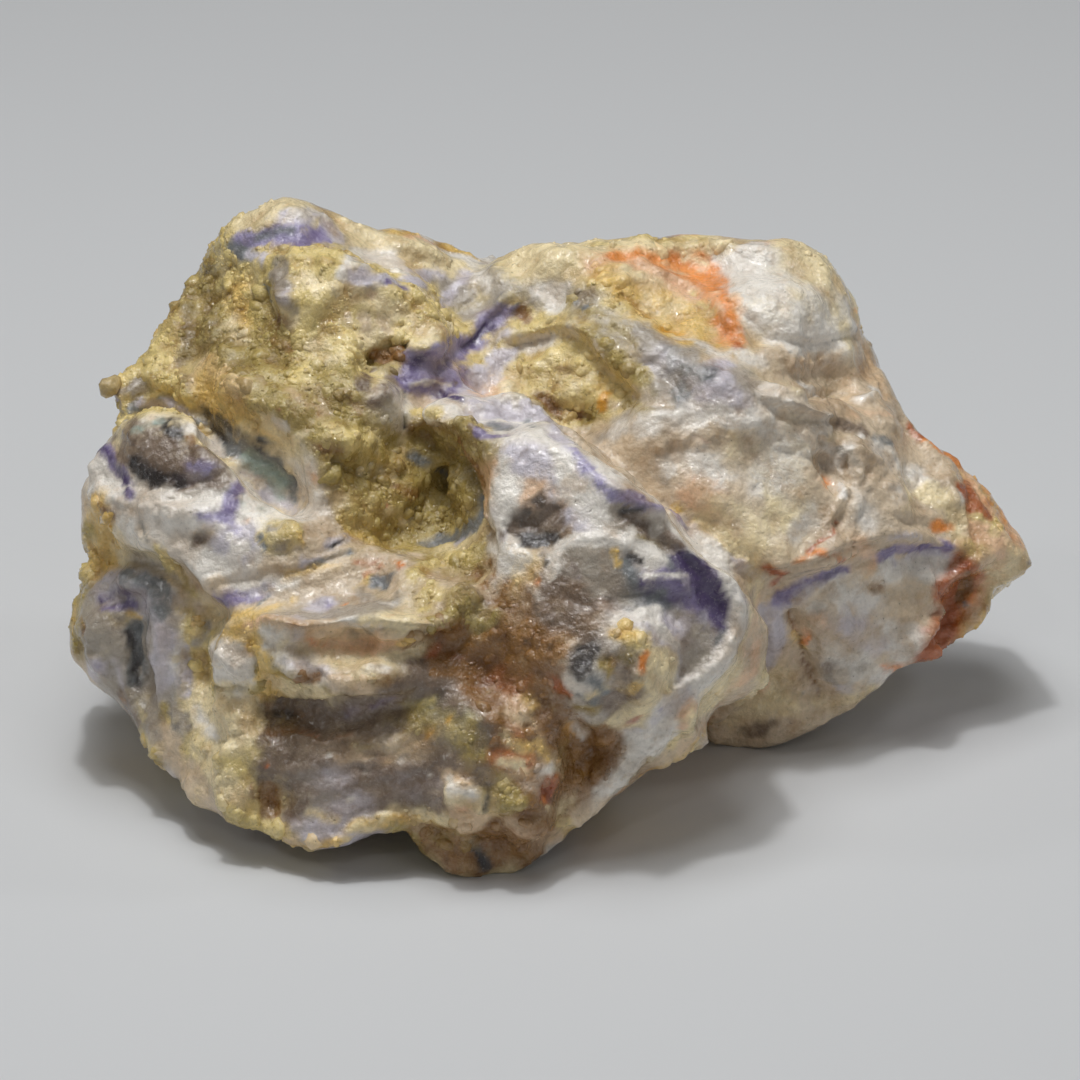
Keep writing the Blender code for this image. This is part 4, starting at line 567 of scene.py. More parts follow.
cream | 1.4 0.7 | -2.7,27.6 -0.1,26.8 4,27.6
mauve | 0.8 0.5 | 3.4,24.8 5,24
orange | 0.9 0.5 | 6,28.1 8,28.3 10.3,27.8 12.4,27.1 14.7,26.1
orange | 0.6 0.44 | 14.9,28.3 16.7,28
orange | 1.3 0.44 | 13.7,26.3 16.2,25.5 18,24.3 18.8,21.7
rust | 0.5 0.39 | 11.6,27.2 14.2,26.3
rust | 0.6 0.39 | 16.7,25 18.2,23.2 19.5,20.7 19.8,19.2
orange | 0.9 0.28 | 5.5,27.6 6.5,26.3
cream | 1 0.8 | 7.5,26.8 8.6,26.1
cream | 1.1 0.7 | 10.3,24.3 12.9,23.2 11.1,22.2
gold | 0.9 0.9 | 13.4,20.9 14.4,20.7
brown | 0.5 0.6 | 13.7,20.7
orange | 0.35 0.5 | 9.3,23.6
white | 1 0.9 | -1.1,19.7 1.4,20.2 3.4,20.7
cream | 0.9 0.7 | 3.4,15.3
brown | 0.9 0.5 | 1.9,17 2.9,17.6
brown | 0.8 0.9 | -0.1,14.3 1.9,12.9 4.7,12.1
gold | 1.2 0.8 | 6.3,17.1 6.5,15.6
amber | 0.5 1 | 6.9,14.7
amber | 0.45 1 | 6.3,13.3
olive | 0.8 0.8 | 5.5,13 4.7,11
olive | 1.1 0.5 | 3.2,24 5,23 6.8,21.7 8.8,20.7 10.3,19.2
slate | 0.45 0.8 | 3.7,23.8 4.5,23.4
slate | 0.6 0.5 | 5.7,20.7 7,19.7
olive | 1.2 0.5 | 4.7,20.9 6.8,19.2 8.6,17.6 10.3,16.4
olive | 0.6 0.5 | 8,18.1 11.1,16.4
straw | 1.5 0.7 | 8.6,15.6 10.1,14.6 9.8,13
sea | 0.8 0.5 | 11.1,15.8 11.6,14.8
mauve | 0.7 0.9 | 10.1,20.7 11.1,18.7 12.1,17.1
mauve | 1.1 1 | 13.9,18.4 16.2,19.2
slate | 1.6 0.8 | 14.2,16.6 13.9,14.1
lavender | 1.1 0.7 | 18.2,17.6 18,14.8 16.2,13
charcoal | 1 0.7 | 16.7,16.9 17.5,17.1
charcoal | 0.4 0.9 | 17.1,17 16.7,16
mauve | 1.7 0.7 | 6.3,10.7 11.3,11.3 15.3,12
taupe | 1 0.5 | 7,11 10.3,10.7 13,12
sea | 1.4 0.35 | 8.7,8 12,8.7
mauve | 1.5 0.6 | 11.3,7.3 14,5.3
gold | 0.5 0.7 | 12.7,10.5 13.7,10.3
gold | 1 0.6 | 18,10.7 21,11
rust | 0.35 0.8 | 15.3,10.3 17,9.7
charcoal | 0.22 1 | 22.7,8.5
charcoal | 0.15 1 | 17.7,8.7
charcoal | 0.14 1 | 18.5,8.3
gold | 0.45 0.6 | 21.7,7.8 21.6,5.7
brown | 1.6 0.5 | 15.3,5.3 17.3,6
orange | 0.5 0.5 | 17.7,6.3 18,5.3
rust | 0.3 0.6 | 15.5,6
gold | 0.5 0.6 | 25,2.2
rust | 0.25 1 | 18.9,0.8
white | 1.6 0.5 | 22.7,9.3 24.7,7.3
orange | 0.6 0.6 | 28.3,6 28.5,5.3
straw | 1.5 0.35 | 22.7,4 24.7,2.7
straw | 0.8 0.6 | 26.5,25 26.7,23.7
orange | 0.55 0.5 | 25,27.5 25.5,26.2
straw | 1 0.4 | 20.7,23 22,22
lavender | 0.9 0.4 | 20.7,22 24,21.3
lavender | 0.6 0.7 | 30.3,26 31,24.3
orange | 0.4 0.5 | 31.3,23.7 31.5,23
cream | 0.8 0.7 | 28.3,23 29.3,22
tan | 1 0.9 | 32,20.7 33.3,17.3 34.3,14.7
charcoal | 0.2 0.9 | 31.7,21.1
ivory | 0.7 0.7 | 23.7,19.3 26.7,19.3 29.7,19.6
brown | 0.9 0.45 | 25.3,17.3 28.3,17.7 26.7,16.7
taupe | 1.1 0.6 | 30,12 32,11
tan | 1.2 0.7 | 30.3,15.3 31.3,12.7
white | 0.6 1 | 22.8,15.3 24.2,14.9
white | 0.55 1 | 26,15.6 28.3,14.3
white | 0.9 1 | 25,13.8 27.3,13 28.8,11.7
white | 0.7 0.9 | 27.7,11.3 29.2,11
white | 0.9 0.7 | 32,14.3 33.7,15
peach | 0.9 0.5 | 31.7,12.7 35.3,12.7
slate | 0.8 0.7 | 33.8,10 35.3,9.5
taupe | 0.8 0.5 | 32.7,10.7
tan | 0.9 0.9 | 30.7,7.7 29.9,9.3
mauve | 0.5 0.7 | 30.7,7.7 30.3,8.7
white | 0.5 0.9 | 30.3,9 32,10.3
white | 0.5 0.9 | 30,5.3 30.3,4.3
mauve | 1.3 0.6 | 33,2.3 36,1.3
slate | 0.5 0.5 | 32.5,1.8
white | 1.1 0.6 | 35.3,5 37.3,5.3 38,6.7
straw | 0.8 0.5 | 36.7,2.8
cream | 1 0.8 | 41,3.3 40.3,4
orange | 0.7 0.7 | 39.7,1.3 40.7,1.5
white | 0.6 0.8 | 42.2,4.7 42.5,0.7
rust | 0.6 0.9 | 37,11.3 38.3,10.2
orange | 0.8 0.8 | 39,9.5 42,7.7
rust | 0.25 0.8 | 26.8,-1.2 28.7,0.3 29.8,1.7
straw | 0.8 0.9 | 22,-0.3 20.7,-1 18.7,-0.3
cream | 0.7 0.8 | 18.7,-0.7 20.7,-1.8
orange | 0.8 0.8 | 23.3,-3 24,-3.3
rust | 0.45 0.8 | 22.8,-3
tan | 0.8 0.3 | 25.3,4.7 26,0.7
low right
violet | 0.75 0.9 | 24,-5.8 25.7,-5.3 27.3,-4 29.7,-3.3
deep violet | 0.4 0.7 | 27.3,-3.8 29.7,-3.2
violet | 0.6 0.9 | 33.7,-2 35.3,-1.1 37.3,-0.7
taupe | 0.6 0.7 | 37.7,-0.8 40.3,-1
lavender | 0.5 0.8 | 24,-6.5 26,-6.2
rust | 0.5 0.6 | 27.3,-1.3 30.3,-2 28.7,-1.8
orange | 0.6 0.5 | 31.3,-1.7
olive | 1 0.9 | 32.8,-4.7 33.7,-4.5
taupe | 0.5 0.6 | 33.3,-4.7
white | 1 0.7 | 34.7,-2.3 38.7,-2.3
mauve | 1.3 0.7 | 36.7,-5.7 39,-3
orange | 0.8 0.8 | 34.5,-12.7 35.3,-13.2
orange | 0.6 0.7 | 26.5,-10.3 26.7,-9.3
gold | 0.6 0.5 | 25,-9.7
cream | 0.6 0.7 | 30.7,-5.3 31.3,-5.7
lavender | 1.5 0.8 | 23.3,-7.7 23.7,-10.3
mauve | 1.2 0.6 | 27.7,-8.3 29.3,-7.7
mauve | 1.7 0.8 | 29,-13.7 32,-12.7
taupe | 0.9 0.5 | 29.7,-12.7
brown | 0.25 0.9 | 25,-7.2 25.8,-10 27.7,-15.3
charcoal | 0.3 0.9 | 26.3,-15.3
white | 1.5 0.8 | 36,-10.3 37.3,-9.3
rust | 0.8 0.35 | 40,-3.7 39.7,-7.7 38,-11
peach | 0.8 0.6 | 23.3,-14.3 22,-15.3
snout
orange | 1 0.7 | 41.3,9.3 43,7.7 45,5
rust | 0.8 1 | 42.5,5 43.5,3.5
orange | 0.7 0.5 | 43.7,3 45,4
tan | 1.1 0.7 | 44.7,0.7 46.3,0.3
cream | 1.6 0.9 | 45.7,-2 48,-2.8
orange | 0.45 0.7 | 47.7,2 48.2,0
mauve | 0.5 0.7 | 49,-2.3 49.3,-1.3
brown | 0.7 0.8 | 42.7,-3.7 42,-7.3
orange | 0.8 0.7 | 43.3,-6 41.7,-9
rust | 1 0.7 | 39.3,-10.7 40.7,-8.3
slate | 0.4 0.8 | 42.7,-6.5
peach | 0.8 0.5 | 44.3,-4.7 43,-8
peach | 1 0.6 | 41,-1.3 42,0
softer stains
orange | 1.6 0.4 | 6.5,28.2 11,28.8 15,28 18,26.5
orange | 1.7 0.5 | 12,26.5 15.5,25.5 18,23.5 19.2,20
rust | 0.5 0.4 | 11,27.5 14,26.2 17,24.2 18.5,21.5 19.8,19.2
orange | 0.9 0.35 | 20.5,29.5 25,29.5 23.5,28
orange | 0.6 0.4 | 24.8,27.5 25.5,26.2
orange | 0.7 0.5 | 8,30.2 12,30.8 16,30.5
straw | 1.8 0.5 | 3,29 5,26.5 7.5,24 10.5,22.5
cream | 1.2 0.5 | 7.5,30 13,29.5 19,30
white | 3.4 0.85 | 20.5,27.5 23.5,25.5 26,23.5 29,21.5
cream | 1.2 0.4 | 25.5,24.5 27,22
white | 1.6 0.85 | 21.5,22 25.5,20 30,19.5
lavender | 2.4 0.5 | 12,18 15,16.5 18.5,14.5 19.5,13
slate | 0.8 0.5 | 16,16.8 17.5,16.2
charcoal | 0.35 0.7 | 16.8,16.5
white | 1.2 0.5 | 11,24 14.5,20 18.5,18.5 22,18
white | 1.3 0.8 | 23,15 26,13.5 29,12.5
cream | 1.4 0.6 | 24,11 28,10
ivory | 1.8 0.6 | 11,9.5 15,10.5 19,11
straw | 1.2 0.35 | 18.5,11 20,9 23,9.5
peach | 1.8 0.45 | 15.5,6.5 18.5,5 16,5
white | 2.2 0.45 | 22,5 25,3 23,1
cream | 1.6 0.4 | 24.5,1 27,0 23.5,-1.5
white | 1.6 0.35 | 18.5,2 21,3
brown | 0.35 0.35 | 22.2,8.5 21.8,6
orange | 0.6 0.3 | 28,5.8 29.5,5
white | 1.5 0.6 | 34,9 36.5,7 39,5
ivory | 1.6 0.5 | 32,5 35,3 38,1
cream | 1.2 0.5 | 39,5 41.5,2
tan | 1.2 0.5 | 26,18 30,18.5 33,16.5
brown | 0.5 0.3 | 28,18 31,17.5
mauve | 1 0.5 | 30,9 32,8
violet | 0.7 0.4 | 32,-2 36,-1 40,0
white | 1.6 0.5 | 30,-4 34,-4 39,-3
lavender | 2 0.45 | -44.1,-5.1 -39.6,-5.7 -37.7,-10.9 -38.3,-14.8
slate | 0.6 0.35 | -41.9,-7.7 -40.6,-10.9 -40.9,-14.1
white | 1.5 0.8 | -32.5,-10.9 -30.6,-12.8 -30,-14.8
cream | 2.2 0.6 | -33.2,-17.3 -30.6,-19.3 -33.8,-21.2
ivory | 1.6 0.6 | -38.3,-19.9 -36.4,-22.5 -32.5,-26.4
mauve | 0.8 0.4 | -32.5,-18 -30.6,-17.3
brown | 0.4 0.35 | -34.5,-16.7 -33.5,-18.6
white | 1.4 0.7 | -26.7,-10.9 -25.4,-12.2 -20.9,-14.1
peach | 1.2 0.4 | -24.2,-10.2 -20.3,-10.9 -15.8,-10.2
rust | 0.35 0.4 | -24.2,-10.9 -19.6,-11.2
ivory | 1.6 0.5 | -23.5,-13.5 -18.4,-12.8
mauve | 2.6 0.45 | -23.5,-23.8 -19.6,-25.7 -22.2,-27.6
olive | 2.4 0.4 | -13.2,-18.6 -9.3,-19.3 -6.8,-21.2
sea | 1.6 0.35 | -11.9,-17.3 -8,-18
ivory | 0.8 0.3 | -17.1,-21.2 -11.9,-21.8
brown | 0.8 0.6 | -26.7,-25.7 -27.1,-27
lavender | 1.4 0.35 | -25.4,-28.3 -20.9,-28.9 -18.4,-26.4
cream | 1.3 0.7 | -9.3,-25.7 -6.1,-26.4
white | 0.8 0.6 | -8.7,-25.1 -6.8,-25.7
rust | 1.6 0.35 | -2.9,-16 -1.6,-19.3 -3.5,-21.8
gold | 0.8 0.4 | -2.9,-21.2 -0.3,-20.6
taupe | 1.6 0.4 | -6.8,-12.8 -2.9,-13.5
brown | 1.6 0.3 | 0.3,-8.3 -2.9,-10.9
rust | 0.7 0.8 | 0.7,-25.1
cream | 0.8 0.6 | -19.6,-29.6 -14.5,-27 -9.3,-28
ivory | 0.8 0.5 | -25.4,-30.2 -22.2,-31.2
olive | 1.2 0.5 | -10,-29.6 -6.8,-30.2
tan | 1.6 0.5 | -2.9,-28.9 1,-30.2
white | 1.6 0.7 | 8,11.5 12,12 17,12.5 22,12 26,11
white | 1.1 0.6 | 28,10.5 28.8,8
cream | 1.6 0.55 | 19,8 22,7 25.5,8
white | 1.3 0.5 | 13.5,8 17,8
straw | 1.3 0.4 | 23,5 25.5,3
peach | 1 0.5 | 14.5,5 17,3
ivory | 1.6 0.5 | 8,8 10,5 13,2
white | 1.4 0.6 | 24.5,5 27,3 25.5,0.5
cream | 1.2 0.5 | 17,1 21,0
tan | 2 0.4 | -34,17.3 -30.7,14.7
brown | 0.7 0.45 | -26.7,20 -24.7,18.7
brown | 0.6 0.4 | -29.3,17.3 -28,15.7
brown | 0.7 0.45 | -19.3,14.7 -18,12.7
cream | 1.3 0.6 | -22.7,19.3 -20.7,18.3
cream | 1.2 0.5 | -26.7,23.3 -24.7,22
ivory | 1.4 0.6 | -18.7,22 -16,21.3
brown | 0.8 0.4 | -22,15.3
cream | 1.2 0.5 | -31.3,21.7 -29.3,20.3
gold | 1.6 0.6 | -33.3,14.7 -30.7,12
tan | 1.4 0.45 | -24.7,14.7 -22,12.7
cream | 1.2 0.4 | -18,7.3 -15.3,6
cream | 1 0.4 | -14.7,2.7 -12,2.3
gold | 1.6 0.55 | 6,27.5 8,25 12,21.5
amber | 0.9 0.6 | 12,21.2 14,20.5
orange | 1.2 0.5 | 13.5,27.5 17,25.5 18.5,22.5
straw | 1.4 0.6 | 3,19.5 5,18 8,16.5
amber | 0.8 0.7 | 6.8,14.2
olive | 1 0.5 | 7,18.5 10,16.5 11.5,14.5
white | 2 0.7 | 22,28 25.5,26.5 28,24
white | 0.8 0.7 | 30,20.5 31.5,21.5
rust | 1 0.7 | 42.5,6 43.5,3.5
rust | 0.7 0.5 | 41.5,8 40,9.5
slate | 1.1 0.75 | -31,10.8 -28.6,9.6 -26.2,8 -25,5.6
sea | 1.2 0.8 | -29,7.6 -27,6.4 -25.8,5.2
white | 0.8 0.6 | -29.8,6 -28.2,4 -26.2,2.8
charcoal | 0.6 0.8 | -33,12.8 -30.2,10.8 -27.8,9.2
taupe | 1.6 0.6 | -41.4,10.8 -39,8.8 -35.8,8
charcoal | 0.7 0.6 | -39,6.4 -35.8,6 -40.6,7.6
white | 0.7 0.8 | -33.8,10.4 -32.2,9.2
sea | 0.8 0.5 | -40.6,11.2 -38.2,11.6
lilac | 0.8 0.6 | -35,7.6 -33,7.2
white | 1.3 0.8 | -39,3.6 -35.8,2.8 -33.4,4.4
violet | 0.6 0.7 | -30.2,5.2 -30.6,3.2 -31.4,2
lilac | 0.9 0.6 | -33.8,2.4 -31,2 -30.6,0.4
white | 1.2 0.7 | -36.6,0.8 -35.8,-2 -34.2,-3.6
taupe | 0.7 0.6 | -34.2,0 -32.6,0.2
lavender | 1.1 0.6 | -31.8,0 -30.2,-2
olive | 1.3 0.5 | -25.8,0.4
violet | 0.7 0.8 | -31.8,-6 -29.4,-5.6
lavender | 0.8 0.6 | -28.6,-5.2 -27,-4.8
gold | 0.8 0.5 | -25.4,-3.6 -22.2,-2.8 -19,-2
rust | 0.7 0.5 | -18.2,-2.4 -15,-2 -14.2,-2.8
slate | 0.7 0.7 | -16.6,-4.4 -15,-3.6
white | 0.5 0.6 | -17.4,-6 -15,-6.4
lavender | 1.2 0.6 | -25.4,-7.6 -23,-8.4 -24.2,-10
white | 0.7 0.8 | -21.4,-8.2 -19,-8
peach | 1.2 0.6 | -22.2,-10 -18.2,-10.8 -15,-10.4
orange | 0.35 0.6 | -23,-10 -20.6,-10.6
lavender | 1.3 0.5 | -25.4,-11.6 -23,-12.4 -21,-12.8
cream | 1.3 0.7 | -26.2,-14 -23.8,-15.2 -20.6,-15.6
white | 0.6 0.7 | -17.4,-12.4 -15.8,-12.8
brown | 0.6 0.5 | -23.8,-14 -22.2,-13.6
tan | 1 0.5 | -20.6,-14 -17.4,-14.8
slate | 1.6 0.5 | -41.4,-3.6 -39,-4.4 -37,-6.8
charcoal | 0.7 0.25 | -40.6,-8.4 -41,-11.6 -40.2,-14
white | 0.7 0.4 | -36.6,-3.6 -35.8,-8.4 -36.6,-13.2
white | 1.1 0.45 | -32.2,-10.4 -30.6,-12 -29.8,-13.6
cream | 1.8 0.8 | -32.6,-16.8 -29.4,-17.2 -31,-19.2
ivory | 1 0.6 | -34.2,-16.4 -33.8,-18.8
olive | 0.6 0.5 | -33.8,-14.8 -29,-14.8
cream | 1.8 0.75 | -33.8,-16 -31.2,-19.3 -33.2,-23.8 -30.6,-25.1
ivory | 1.3 0.8 | -37.7,-19.3 -35.1,-23.8 -31.9,-27.6
white | 0.8 0.7 | -34.1,-17.3 -32.5,-19.3
brown | 0.5 0.5 | -29.3,-23.8 -28.7,-25.7
mauve | 1 0.6 | -39.6,-17.3 -38.3,-19.9
cream | 0.7 0.6 | -3.5,-19.3 -1.6,-22.5
brown | 0.6 0.5 | -1.6,-17.3 -0.6,-19.3
olive | 1 0.5 | 3.6,-16.7 5.5,-17.3
white | 1 0.8 | -4,7.5 -2.8,5.1 -4.4,1.8
lavender | 1.4 0.5 | -1.1,7.5 1.3,5.9
lilac | 1.1 0.7 | 4.6,6.7 7.1,5.1 9.6,4.2
white | 1.2 0.8 | 2.6,7.5 3.8,5.1 5.4,2.2
charcoal | 0.9 0.7 | -2,1.8 -0.3,3.4 0.9,0.5
taupe | 1.1 0.5 | -1.1,2.2 1.3,2.2
taupe | 1 0.7 | 8.7,2.6 11.2,1 13.7,-0.7
charcoal | 0.4 0.7 | 8.3,2.8 10.4,3.2
white | 0.7 0.9 | 0.9,-3.6 2.2,-1.1 4.6,0.1 6.7,0.1
mauve | 1.3 0.7 | 3.8,-2.3 5.4,-2.7 5.4,-4.4
white | 0.7 0.8 | 11.2,-0.7 12,-2.3
deep violet | 1 0.85 | 13.7,-1.9 16.1,-3.6 17.8,-5.6 17.8,-8.1
violet | 1.5 0.6 | 12,-4 14.5,-5.2 15.3,-7.3
slate | 1.3 0.5 | 8.7,-6.4 12,-5.6
mauve | 1.6 0.5 | 14.5,-7.7 16.1,-9.3 15.3,-11.4
white | 0.3 0.7 | 10.4,-3.6 13.7,-3.6
white | 0.5 0.8 | 10.4,-7.3 12,-8.5 13.7,-10.1
white | 0.8 0.7 | 14.5,1.8 17.4,-1.1 19.4,-4.4 19.4,-8.1
peach | 0.6 0.6 | 13.7,2.2 15.7,1
peach | 1 0.5 | 21.5,-4.4 21.5,-7.7 20.2,-13 17.8,-16.3
cream | 0.9 0.6 | 20.2,-2.3 21.9,-4.4
charcoal | 0.9 0.6 | 3.4,-13 5.4,-11.4
gold | 0.9 0.7 | 7.5,-9.3 9.6,-9.7
olive | 1 0.5 | 6.7,-12.6 8.3,-14.7
white | 0.6 0.7 | 3.4,-18.8 4.2,-19.6
cream | 0.9 0.6 | 11.6,-11.8 12.4,-14.7
taupe | 1.6 0.5 | -0.7,-7.3 2.6,-8.1 4.6,-9.7
brown | 1.4 0.6 | -2.8,-10.6 -6.1,-13
rust | 1.2 0.35 | -6.9,-14.7 -3.6,-13
gold | 1 0.6 | -2,-15.5 -0.3,-16.7
cream | 0.7 0.6 | -3.6,-17.1 -1.1,-18.4
brown | 0.9 0.6 | -1.5,-19.2
rust | 0.9 0.5 | -4.4,-21.2 -1.5,-22.1
cream | 0.5 0.6 | -4,-22.1 -2,-22.5
brown | 1.2 0.6 | 2.6,-21.2 4.6,-22.9 6.3,-19.6
lavender | 1.2 0.5 | 8.7,-18.8 12,-18 14.5,-15.5
tan | 0.9 0.5 | 13.7,-21.2 17,-18 20.2,-15.5
lavender | 1 0.7 | 35.3,-2.3 38,-1.6 40.8,-1.2
white | 0.9 0.7 | 34.6,-3.3 37.4,-2.6 40.1,-2.3
violet | 0.6 0.8 | 33.6,-1.6 36,-0.7 38.7,-0.5 40.8,-0.9
violet | 0.6 0.8 | 23.9,-5.4 26.3,-4.3 28.4,-3.3 30.8,-3
lilac | 0.6 0.7 | 23.6,-6.1 26,-6.1 27.4,-4.7
deep violet | 0.3 0.6 | 28.4,-3.5 30.1,-3
rust | 0.6 0.8 | 22.5,-3 24.3,-3.5 23.4,-4.3
orange | 0.5 0.5 | 25.6,-2.3 27.7,-1.2 29.8,-1.6
rust | 0.25 0.7 | 27,-1.1 28.4,0 29.4,0.8
peach | 0.9 0.6 | 32.2,-0.5 33.2,-1.9 32.2,-3.3
brown | 0.8 0.8 | 32.5,-4.3 33.9,-5
gold | 0.5 0.6 | 31.2,-4.3 32.5,-3.6
orange | 0.5 0.8 | 39.4,1.3 41.1,1.5
cream | 1.3 0.7 | 36.7,5 40.8,3.9 42.2,1.9
rust | 0.9 0.8 | 42.2,5.3 43.6,3.9 44.6,2.6
peach | 1.3 0.7 | 43.6,0.8 45.6,-0.2 46.3,-2.3
tan | 1 0.5 | 42.9,-0.9 44.9,-2.3
ivory | 1.5 0.6 | 35.3,-5 37.4,-7.1 35.3,-8.5
lavender | 1.4 0.6 | 30.8,-6.4 33.2,-7.1 29.8,-8.8
mauve | 1 0.6 | 27.4,-7.1 29.1,-7.8
ivory | 1.4 0.5 | 28.1,-9.2 30.5,-10.2 28.4,-11.9
white | 1.2 0.75 | 35.3,-9.2 37,-10.5 36.7,-11.9
orange | 0.6 0.75 | 34.3,-12.9 36,-12.6
gold | 0.8 0.6 | 25,-9.5 26.3,-10.5
orange | 0.4 0.6 | 26,-10.2 26.7,-9.8
brown | 0.22 0.8 | 24.6,-7.1 25.8,-9.5 26.7,-13.3 28.4,-16.4
lavender | 1.1 0.7 | 22.5,-7.1 23.6,-9.8 23.2,-12.6
taupe | 0.9 0.5 | 28.7,-12.9 30.8,-11.9
lavender | 1.3 0.5 | 29.1,-14.7 31.5,-15.4 33.9,-14
white | 1.1 0.5 | 23.9,-14.7 26,-16 27.7,-14.7
tan | 0.8 0.4 | 23.6,-13.3 25,-14.3
ivory | 1 0.5 | 21.2,-16.7 25,-17.8 27.7,-17.4
taupe | 1 0.5 | 20.8,-19.5 23.6,-18.8
peach | 0.9 0.6 | 19.4,-14.7 21.2,-13.3 21.9,-10.5
cream | 0.7 0.7 | 19.4,-0.9 21.5,-1.6
lilac | 0.5 0.8 | 20.3,-2.1
lavender | 0.8 0.7 | 19.8,-2.6 21.2,-3.6
rust | 1.4 0.5 | 40.1,-5.4 41.5,-7.1 39.8,-8.8 38.7,-11.2
brown | 0.6 0.6 | 42.9,-4 42.2,-5.7
orange | 0.7 0.4 | 41.5,-4.3 40.1,-6.4
tan | 0.7 0.5 | 43.6,-7.1 42.9,-8.8
cream | 2.4 0.3 | 23.5,24 27,26
orange | 1.7 0.38 | 8,28.3 13,27.6 17.5,26.2
peach | 2.5 0.45 | 6,28 12,26 16,24
orange | 1.4 0.3 | 17.5,26 18.8,23.5 19.3,21
gold | 2.3 0.5 | 8,26 12,24.5 15,22
rust | 0.6 0.4 | 16.5,26.5 19,24
straw | 1.5 0.5 | 5,29.5 10,30.2 16,29.8
cream | 2 0.4 | 24,27.5 28,27
cream | 1.5 0.4 | 27.5,23.5 29.5,22
cream | 1.5 0.5 | 28.5,25.5 30.2,22 31,19
ivory | 1.6 0.6 | 25,14.5 28,12.5
mauve | 1.6 0.45 | 8.5,12.5 12,15.5 14.5,17
slate | 2 0.35 | 13,19 15,17.5
dark olive | 1.1 0.45 | 7.5,14.5 10.5,12.8
brown | 1 0.75 | -16.3,18.7 -14.4,17.9
dark olive | 0.8 0.6 | -17,17.5 -15,16.8
cream | 1.2 0.6 | -27.5,12 -25.5,10 -24,8
tan | 1.3 0.55 | -26,-8.6 -20,-9.2
cream | 1.2 0.5 | -33.5,-5.5 -32.2,-8
brown | 1.8 0.5 | -6,-3 -4,-4.5 -2.5,-6
brown | 1.6 0.5 | -7,-15 -4.5,-16.8
mauve | 1.4 0.5 | 8,-5.5 10,-6.8
cream | 1.2 0.5 | 20.8,-1 21.2,-6 20.6,-10 19.2,-14
white | 1.3 0.5 | -39.5,3.5 -36,1.8
lilac | 1.1 0.5 | 10,4.5 13,2.8 15,1.2
olive | 1.8 0.6 | -9.5,10.5 -8.3,8 -8.8,5.5
gold | 1 0.35 | -9,9.5 -8.6,6.5
brown | 2 0.35 | -1,-13 1.5,-17 3,-22 4,-26
amber | 1.2 0.35 | 2.5,-19 4.5,-24
rust | 1 0.3 | 0,-12.5 -2,-15
peach | 1.5 0.4 | 43,6 45,3
orange | 0.8 0.4 | 42.5,7.5 44.5,5
white | 2.2 0.5 | 27,-6 31,-5.5 34,-7.5
white | 2.2 0.5 | 28,-11 32,-12.5 35,-14
cream | 1.6 0.5 | 22,-16.5 28,-16.8 33,-15.5
lavender | 1.8 0.4 | 30,-9 34,-10.5
peach | 1.2 0.4 | 26,-9 29,-8
cream | 1.4 0.5 | 25,-13 24,-16
tan | 1.2 0.4 | 33,-4.5 31,-2
mauve | 0.6 0.5 | 24,-4 27,-3
lavender | 0.5 0.5 | 35,0.2 38,0.4
white | 2.2 0.4 | 14,8 19,6.5 24,8
cream | 2.2 0.45 | 17,3 22,2 26,4
white | 1.6 0.45 | 27,9 31,6 33,2
tan | 1.4 0.4 | 24,12 28,10
lavender | 1.4 0.4 | -6,14 -3,11 0,8
lavender | 1.3 0.35 | 2,5 5,2
charcoal | 0.5 0.6 | -41.4,-9.2 -40.8,-10.3
charcoal | 0.45 0.6 | -40.6,-10.6 -40,-12.1 -40.6,-13
charcoal | 0.35 0.6 | -40.2,-13 -40.1,-15
deep violet | 0.6 0.6 | -43.8,-5.8 -42.5,-5.2 -41.2,-5.6
violet | 0.5 0.6 | -43.5,-6.8 -41.8,-6.6 -40.5,-6.4
lavender | 0.9 0.5 | -42.5,-12 -42,-14
white | 1.3 0.7 | -32.2,-11.2
white | 1.3 0.7 | -30.8,-12.8
cream | 0.8 0.6 | -31.8,-14.4 -29.4,-14.2
ivory | 2.4 0.4 | -24,-20 -18,-19.5 -12,-20
lavender | 2.3 0.3 | -22,-24.5 -15,-24 -11,-25
olive | 1.8 0.3 | -13,-17 -8,-18.5
amber | 0.9 0.3 | -11,-19.5 -9,-18
tan | 1.4 0.35 | -20,-21.5 -15,-22
tan | 1.7 0.4 | -3.5,-16 -1,-19 0,-22
gold | 1.3 0.35 | -2,-20.5 0.5,-21.5
cream | 1.4 0.45 | -26,-10.5 -21,-12 -15,-12.5
tan | 1.1 0.4 | -22,-9 -15,-9.5
white | 0.35 0.6 | -21,-21.5
white | 0.3 0.6 | -17.5,-23.2 -17.2,-23.6
white | 0.4 0.5 | -13.8,-22
white | 0.3 0.6 | -19.2,-26 -18.7,-25.8
white | 0.35 0.5 | -11,-23.5
white | 0.3 0.6 | -9.6,-21.8 -9.2,-21.5
cream | 0.5 0.5 | -23.2,-27.2 -20.5,-28
brown | 0.8 0.4 | -24.5,-17.8 -22,-17.3
peach | 1.1 0.5 | 10,27.4 14,26.2
cream | 0.8 0.5 | 9,26.9 12.5,25.9
straw | 0.7 0.5 | 15.5,24.6 17,22.8
peach | 0.7 0.5 | 17.6,24.6 18.4,22
cream | 0.5 0.5 | 14.5,28.2 16.5,27.6
peach | 0.6 0.5 | 19.6,24.4 20.2,22
"""

